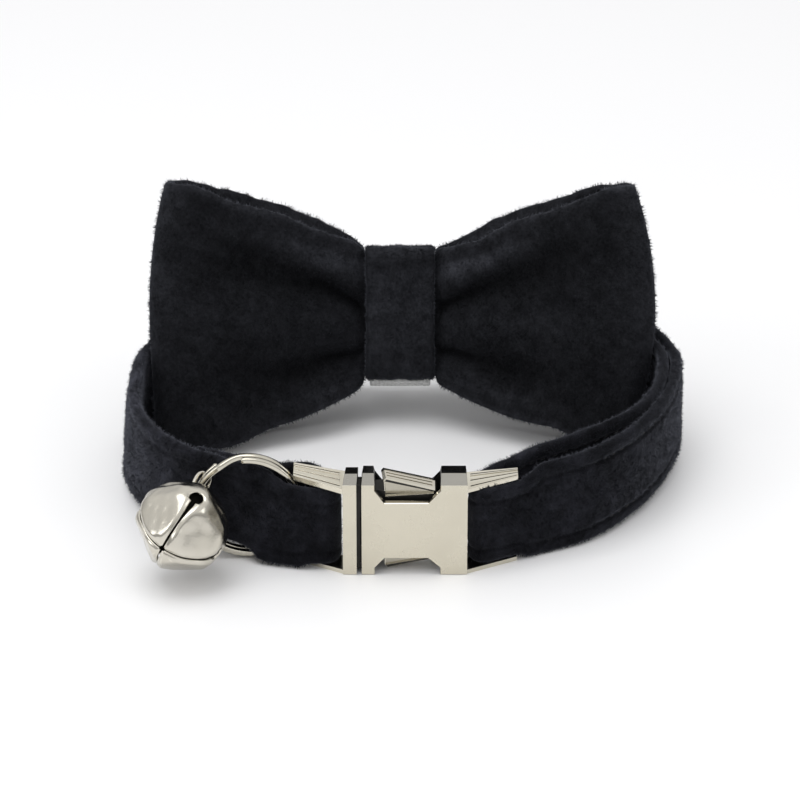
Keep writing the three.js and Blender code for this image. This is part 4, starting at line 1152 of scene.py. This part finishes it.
# %% The bow's frame and its band
BOW_AT, LEAN = np.array([0, 53.5, 19.3]), math.radians(16)
bow_up = np.array([0, math.sin(LEAN), math.cos(LEAN)])
bow_forward = np.array([0, -math.cos(LEAN), math.sin(LEAN)])
PANEL = 1.4
WING = np.array([  # out, half height left and right, drop left and right, front panel, back panel, pleat
    (0.0, 8.5, 8.5, 0.3, 0.3, -2.6, -4.4, 0.0), (5.8, 8.8, 8.8, 0.3, 0.3, -2.6, -4.4, 0.0),
    (6.15, 11.0, 10.7, 0.6, 0.6, -2.3, -4.7, 0.3), (6.8, 11.8, 11.3, 0.8, 0.8, -1.9, -5.0, 0.7),
    (7.9, 12.6, 11.7, 0.7, 0.9, -0.9, -5.6, 1.5), (11.5, 14.4, 13.4, 0.6, 0.85, 1.3, -5.2, 2.1),
    (18.0, 17.05, 16.25, 0.55, 0.55, 4.2, -3.0, 1.5), (25.5, 18.95, 18.25, 0.35, 0.25, 6.7, -0.2, 0.6),
    (33.0, 20.35, 19.8, 0.1, 0.05, 8.2, 2.6, 0.1), (38.3, 20.7, 20.2, 0.0, 0.0, 8.2, 5.0, 0.0)])
TIP = {-1: (39.3, 20.8), 1: (40.1, 20.3)}  # out and half height
TIP_FORWARD, TIP_RISE = 6.8, 1.3
BARREL, FOOT = {-1: 2.6, 1: 3.3}, {-1: 1.9, 1: 1.8}
PLEATS = np.array([  # out from the knot, height on the panel of the upper and lower pleat, and their spread
    (6.5, 0.14, -0.52, 0.1), (9.0, 0.24, -0.48, 0.12), (12.5, 0.34, -0.49, 0.15),
    (18.0, 0.39, -0.55, 0.19), (25.0, 0.44, -0.57, 0.24), (36.0, 0.47, -0.58, 0.3)])


def in_bow(a, b, c):
    a, b, c = opened(a, b, c)
    return BOW_AT + a * np.array([1.0, 0, 0]) + b * bow_up + c * bow_forward


def bow_route():
    """The band's closed line: out from the knot, forward, half height, drop, pleat."""
    def rows(side, panel):
        half, drop = (WING[:, 1], WING[:, 3]) if side < 0 else (WING[:, 2], WING[:, 4])
        out = side * np.minimum(WING[:, 0], TIP[side][0] - 1.2)
        return np.column_stack([out, WING[:, panel], half, drop, WING[:, 7]])

    def tip(side):
        return [(side * TIP[side][0], TIP_FORWARD, TIP[side][1], 0, 0)]

    return np.vstack([rows(1, 5), tip(1), rows(1, 6)[::-1], rows(-1, 6)[1:], tip(-1), rows(-1, 5)[1:][::-1]])


band, band_out, BAND_LENGTH = evenly(smooth_line(bow_route(), closed=True), 420)
print("bow band:", round(BAND_LENGTH, 1), "mm round")

# %% [markdown]
# Across the band each section goes up one face and down the other, with a soft rolled edge of its
# own thickness. A pleat pushes both faces back in a smooth valley. Small folds beside the pleats and
# a slight unevenness keep the cloth from looking pressed out of a mould.

# %% The band's skin
FLOOR_SOFT = 0.5  # the lowest corner flattens out over this height


def band_sections():
    a, c, tall, drop, pleat = (v[:, None] for v in band.T)
    out, left, edge = np.abs(a), a < 0, PANEL / 2
    levels, roll = np.linspace(-1, 1, 73), np.linspace(0, np.pi, 9)[1:-1]
    flat, cap = np.ones(len(levels)), np.ones(len(roll))
    v = np.concatenate([levels, cap, levels[::-1], -cap])
    thick = np.concatenate([flat, np.cos(roll), -flat, -np.cos(roll)]) * edge
    beyond = np.concatenate([0 * flat, np.sin(roll), 0 * flat, -np.sin(roll)]) * edge
    upper, lower, spread = (np.interp(out, PLEATS[:, 0], PLEATS[:, k]) for k in (1, 2, 3))
    high_valley, low_valley = hump(v, upper, spread), hump(v, lower, spread)
    crease = 0.3 * between(out, 6, 9, 14, 34) * sum(hump(v, at, 0.06) for at in (0.84, 0.05, -0.24, -0.8))
    panels = np.stack([np.interp(out, WING[:, 0], WING[:, k]) for k in (6, 5)])
    front = ease(c, *np.sort(panels, axis=0))  # 1 on the front panel and 0 on the back one
    sag = 0.9 * front * between(out, 7, 12, 26, 38) * ease(v, 0.45, 1)  # the front panel's top hangs a little lower
    foot = np.where(left, FOOT[-1] * ease(out, 19, 28), FOOT[1] * ease(out, 24, 32)) * ease(-v, 0.5, 1)
    tuck = 1.3 * (1 - front) * hump(v, 0.9, 0.07) * between(out, 7, 10, 24, 36)  # the back panel's own soft fold
    barrel = np.where(left, BARREL[-1] * np.where(v < 0, 0.4, 1), BARREL[1])
    points = in_bow(
        a * (1 - ease(out, 24, 40) * barrel * v * v / 40) + band_out[:, :1] * thick,
        v * (tall - edge) + beyond + TIP_RISE * ease(out, 5, 40) - drop - foot - sag,
        c + band_out[:, 1:] * thick - pleat * (high_valley + low_valley) - crease + tuck)
    loose = ease(out, 7, 14)
    uneven = ripple(points, 6, 21) * 0.18 + ripple(points, 1.8, 22) * 0.05
    points += (uneven * loose)[..., None] * bow_forward
    edges = ripple(points, 2.2, 23) * 0.18 * ease(np.abs(v), 0.9, 1) * loose
    points += (edges * np.sign(v) * (v > -0.2))[..., None] * bow_up
    low = np.minimum(points[..., 2] - FLOOR_SOFT - 0.1, 0)
    points[..., 2] = np.maximum(points[..., 2], 0.6) + FLOOR_SOFT * (np.exp(low / FLOOR_SOFT) - 1)

    # Painted light and shade in the nap's colour, with a little random tone: painted shade in the pleats' valleys,
    # below the upper edge further out and on the back panel, and painted highlights on the middle, on the ridges near
    # the knot, on the back panel's fold, on the rolled upper and lower edges and towards the tips.
    deep = between(out, 5.5, 7, 12, 36)
    lie = -1.15 * deep * high_valley - 0.95 * deep * low_valley + 0.12 * (1 - ease(out, 30, 40)) * hump(v, 0, 0.22)
    lie += 1.1 * (1 - ease(out, 10, 30)) * (hump(v, 0.72, 0.2) + 0.4 * hump(v, -0.85, 0.12)) + 0.3 * ease(out, 34, 41)
    lie += 0.16 * ripple(points, 1.2, 24) - 0.35 * hump(v, 0.62, 0.22) * between(out, 14, 22, 30, 39) + 0.5 * tuck
    return points, lie + 0.45 * ease(np.abs(v), 0.955, 1) * ease(out, 6, 8) - 0.25 * (1 - front) * ease(out, 6, 8)


sections, lie = band_sections()
bow = piece("bow_cloth", skin(sections, closed=True), bow_velvet, "bow_band", "bow_velvet", lie)

# %% [markdown]
# The knot is a strip of the same velvet wrapped once round the middle. Its sides are turned under,
# so they are soft and rounded, and the front is drawn in very slightly at its waist.

# %% The knot
KNOT = {"wide": 11.4, "tall": 21.6, "drop": 0.3, "deep": 7.0, "wall": 1.5, "edge": 0.72, "corner": 1.6}


def strip_section(wall, wide, edge):
    """The strip's section, with enough points along its flat sides to fold softly."""
    corners = rounded_section(wall, wide, edge, 6)
    along = np.linspace(wide / 2 - edge, edge - wide / 2, 30)[1:-1]
    near, far = (np.column_stack([np.full(len(along), x), along]) for x in (-wall / 2, wall / 2))
    return np.vstack([corners[:14], near, corners[14:], far[::-1]])


path, out, _ = evenly(rounded_section(*(KNOT[key] - KNOT["wall"] for key in ("deep", "tall")), KNOT["corner"], 8), 150)
strip = strip_section(KNOT["wall"], KNOT["wide"], KNOT["edge"])
c = path[:, :1] + out[:, :1] * strip[:, 0] - KNOT["deep"] / 2
b = path[:, 1:] + out[:, 1:] * strip[:, 0] - KNOT["drop"]
a = strip[:, 1] * (1 - 0.04 * np.cos(np.pi * b / KNOT["tall"]))
sections = in_bow(a, b, c)
uneven = ripple(sections * (1, 0.5, 0.5), 2.5, 41) * 0.1 + ripple(sections, 1.2, 42) * 0.03
normal = out[:, None, :1] * bow_forward + out[:, None, 1:] * bow_up
sections += uneven[..., None] * normal * (strip[:, :1] > 0)
# Painted light and shade in the nap's colour, with a little random tone: the knot is painted lighter than the wings and
# lightest about its middle, and painted shade darkens its turned-under sides.
lie = 0.38 + 0.45 * hump(b, 1.5, 5.5) + 0.15 * ripple(sections, 1.4, 43) - 0.5 * ease(np.abs(a), 4.9, 5.7)
knot = piece("knot_cloth", skin(sections, closed=True), bow_velvet, "bow_knot", "bow_velvet", lie)

# %% [markdown]
# The elastic is a white woven band. It lies on the back of the knot, goes under the strap, up behind
# it and back over its upper edge. The rubber cords in the weave show as fine ridges along it.

# %% The elastic loop
ELASTIC = {"wide": 10.0, "thick": 0.9, "gap": 0.3, "low": -12.7, "high": 5.4, "bend": 1.4, "cords": 1.25}
STRAP_BACK = 66.2 + (0.6 + STRAP_THICK) / 2
off = ELASTIC["gap"] + ELASTIC["thick"] / 2
under, over = (in_bow(0, ELASTIC[level], -KNOT["deep"] - off) for level in ("low", "high"))
low = float(rise(STRAP_BACK)) + 0.3 - off
corners = np.array([under[1:], over[1:], (STRAP_BACK + off, over[2]), (STRAP_BACK + off, low),
                    (STRAP_BACK - STRAP_THICK - 2, low)])
t = np.linspace(0, 1, 9)[:, None]
path = []
for before, corner, after in zip(np.roll(corners, 1, axis=0), corners, np.roll(corners, -1, axis=0)):
    arrive, leave = (corner + ELASTIC["bend"] * unit(other - corner) for other in (before, after))
    path.append(arrive * (1 - t) ** 2 + 2 * corner * t * (1 - t) + leave * t**2)
path, out, whole = evenly(np.vstack(path), 220)
half_wide = ELASTIC["wide"] / 2
along = np.linspace(half_wide - 0.2, -half_wide + 0.2, 40)
corded = ELASTIC["thick"] / 2 * (1 - 0.12 * np.cos(along * 2 * np.pi / ELASTIC["cords"]) ** 2)
strip = np.vstack([np.column_stack([-corded, along]), [(-0.2, -half_wide), (0.2, -half_wide)],
                   np.column_stack([corded, along])[::-1], [(0.2, half_wide), (-0.2, half_wide)]])
across = np.broadcast_to(strip[:, 1], (len(path), len(strip)))
sections = np.stack([across, path[:, :1] + out[:, :1] * strip[:, 0], path[:, 1:] + out[:, 1:] * strip[:, 0]], axis=-1)
elastic = piece("elastic_weave", skin(sections, closed=True), white_elastic, "bow_elastic", "elastic_white")
print("elastic:", round(whole, 1), "mm round")

# %% [markdown]
# The ribs need a map: how far along the piece and how far across it each point lies.

# %% Maps for the woven pieces
def map_of(made, along, across):
    """Gives a skin a map in millimetres, from its sections' places and those of a section's points."""
    vertex = np.zeros(len(made.data.loops), np.int32)
    made.data.loops.foreach_get("vertex_index", vertex)
    uv = np.column_stack([along[vertex // len(across)], across[vertex % len(across)]])
    made.data.uv_layers.new(name="weave").data.foreach_set("uv", uv.astype(np.float32).ravel())


map_of(elastic, np.linspace(0, whole, len(path)), strip[:, 1])
map_of(stitches, np.tile(np.linspace(0, STITCH, 5), len(parts)), np.linspace(0, 1, 6))

# %% [markdown]
# ## The pile
#
# What makes velvet look like velvet is its outline: hundreds of short fibres stand out past the
# cloth, in tufts that lean together. Hair systems do not export, so the fibres here are single thin
# triangles, rooted at seeded random places on the cloth. There are none where another piece lies
# close against it. Each fibre leans with its neighbours by a gentle ripple, plus a little of its own.

# %% What stands near the cloth
def world_shape(thing):
    return [thing.matrix_world @ v.co for v in thing.data.vertices], [list(p.vertices) for p in thing.data.polygons]


pieces = [strap, socket, tongue, upper_lever, lower_lever, ring, bell, bow, knot, elastic]
near_points, near_faces = joined([world_shape(thing) for thing in pieces])
near_things = BVHTree.FromPolygons(near_points.tolist(), near_faces)
START, REACH = 0.00004, 0.0016  # in metres, how far off the cloth a look around starts and how far it goes
TIGHT = 0.6  # in millimetres, no fibres where a neighbour is nearer


def room_over(centres, normals):
    """For each triangle, 0 where another piece lies close against it, and 1 where none is near."""
    free = np.ones(len(centres))
    for i, (centre, normal) in enumerate(zip(centres, normals)):
        way = Vector(normal)
        away = near_things.ray_cast(Vector(centre / MM) + way * START, way, REACH)[3]
        if away is not None:
            free[i] = max(0.0, away * MM - TIGHT)
    return free


# %% Growing the pile
TUFT, PATCH = 1.1, 4.5  # millimetres over which fibres lean together
LIFT = 0.00002  # in metres, the fibres stay this far off the floor


def fibre_mesh(name, corners, normals, lie):
    """Loose triangles, three corners each. Each has a cell of its own in the map."""
    count = len(corners) // 3
    mesh = bpy.data.meshes.new(name)
    mesh.vertices.add(3 * count)
    mesh.vertices.foreach_set("co", corners.astype(np.float32).ravel())
    mesh.loops.add(3 * count)
    mesh.loops.foreach_set("vertex_index", np.arange(3 * count, dtype=np.int32))
    mesh.polygons.add(count)
    mesh.polygons.foreach_set("loop_start", np.arange(0, 3 * count, 3, dtype=np.int32))
    mesh.update(calc_edges=True)
    mesh.polygons.foreach_set("use_smooth", [True] * count)
    mesh.normals_split_custom_set_from_vertices(np.repeat(normals, 3, axis=0).tolist())
    set_lie(mesh, np.repeat(lie, 3))
    cells = math.ceil(count**0.5)
    cell = np.column_stack([np.arange(count) % cells, np.arange(count) // cells])[:, None]
    corner_map = (cell + np.array([(0.1, 0.1), (0.9, 0.1), (0.5, 0.9)])) / cells
    mesh.uv_layers.new(name="OFBake").data.foreach_set("uv", corner_map.astype(np.float32).ravel())
    return mesh


def grow_pile(name, cloth, material, count, length, width, seed):
    """Fibres on a cloth, as one mesh of thin triangles."""
    co, tri = triangles_of(cloth.data)
    p, q, r = (co * MM)[tri.T]
    normal = np.cross(q - p, r - p)
    area = np.linalg.norm(normal, axis=1) / 2
    normal /= np.maximum(area * 2, 1e-12)[:, None]
    free = room_over((p + q + r) / 3, normal)
    weight = area * free
    dice = np.random.default_rng(seed)
    pick = dice.choice(len(tri), count, p=weight / weight.sum())
    u, v = dice.random((2, count, 1))
    u, v = np.where(u + v > 1, 1 - u, u), np.where(u + v > 1, 1 - v, v)
    root, up = p[pick] + u * (q - p)[pick] + v * (r - p)[pick], normal[pick]
    tufts, patches = (np.column_stack([ripple(root, size, seed + k) for k in keys])
                      for size, keys in ((TUFT, (1, 2, 3)), (PATCH, (4, 5, 6))))
    tilt = 0.9 * (tufts + 0.6 * patches) + dice.normal(0, 0.5, (count, 3))
    tilt -= (tilt * up).sum(1)[:, None] * up
    way = unit(up + tilt)
    long = length * dice.uniform(0.55, 1.15, count)[:, None] * np.clip(0.35 + free[pick], 0, 1)[:, None]
    side = unit(np.cross(up, way) + dice.normal(0, 0.15, (count, 3)))
    base = root - up * 0.05
    gap = np.cross(side, way)[:, None] * 0.006  # a fibre has two faces, back to back, both lit as the cloth is
    front = np.stack([base - side * width / 2, base + side * width / 2, base + way * long], axis=1)
    corners = np.stack([front + gap, front[:, [1, 0, 2]] - gap], axis=1).reshape(-1, 3) / MM
    corners[:, 2] = np.maximum(corners[:, 2], LIFT)
    # The fibres copy the cloth's painted light and shade and its random tone.
    lie = np.zeros(len(co), np.float32)
    cloth.data.attributes["lie"].data.foreach_get("value", lie)
    pick = np.repeat(pick, 2)
    made = stood(name, fibre_mesh(name, corners, normal[pick], lie[tri[pick]].mean(1)))
    made.data.materials.append(material)
    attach(made, "collar")
    print(f"{name}: {count} fibres, cloth free of neighbours {round(float(weight.sum() / area.sum()), 2)}")
    return made


strap_nap = grow_pile("strap_pile", strap, strap_pile, 97000, 0.62, 0.14, 101)
bow_nap = grow_pile("bow_pile", bow, bow_pile, 92000, 0.7, 0.14, 202)
knot_nap = grow_pile("knot_pile", knot, bow_pile, 16000, 0.5, 0.12, 303)
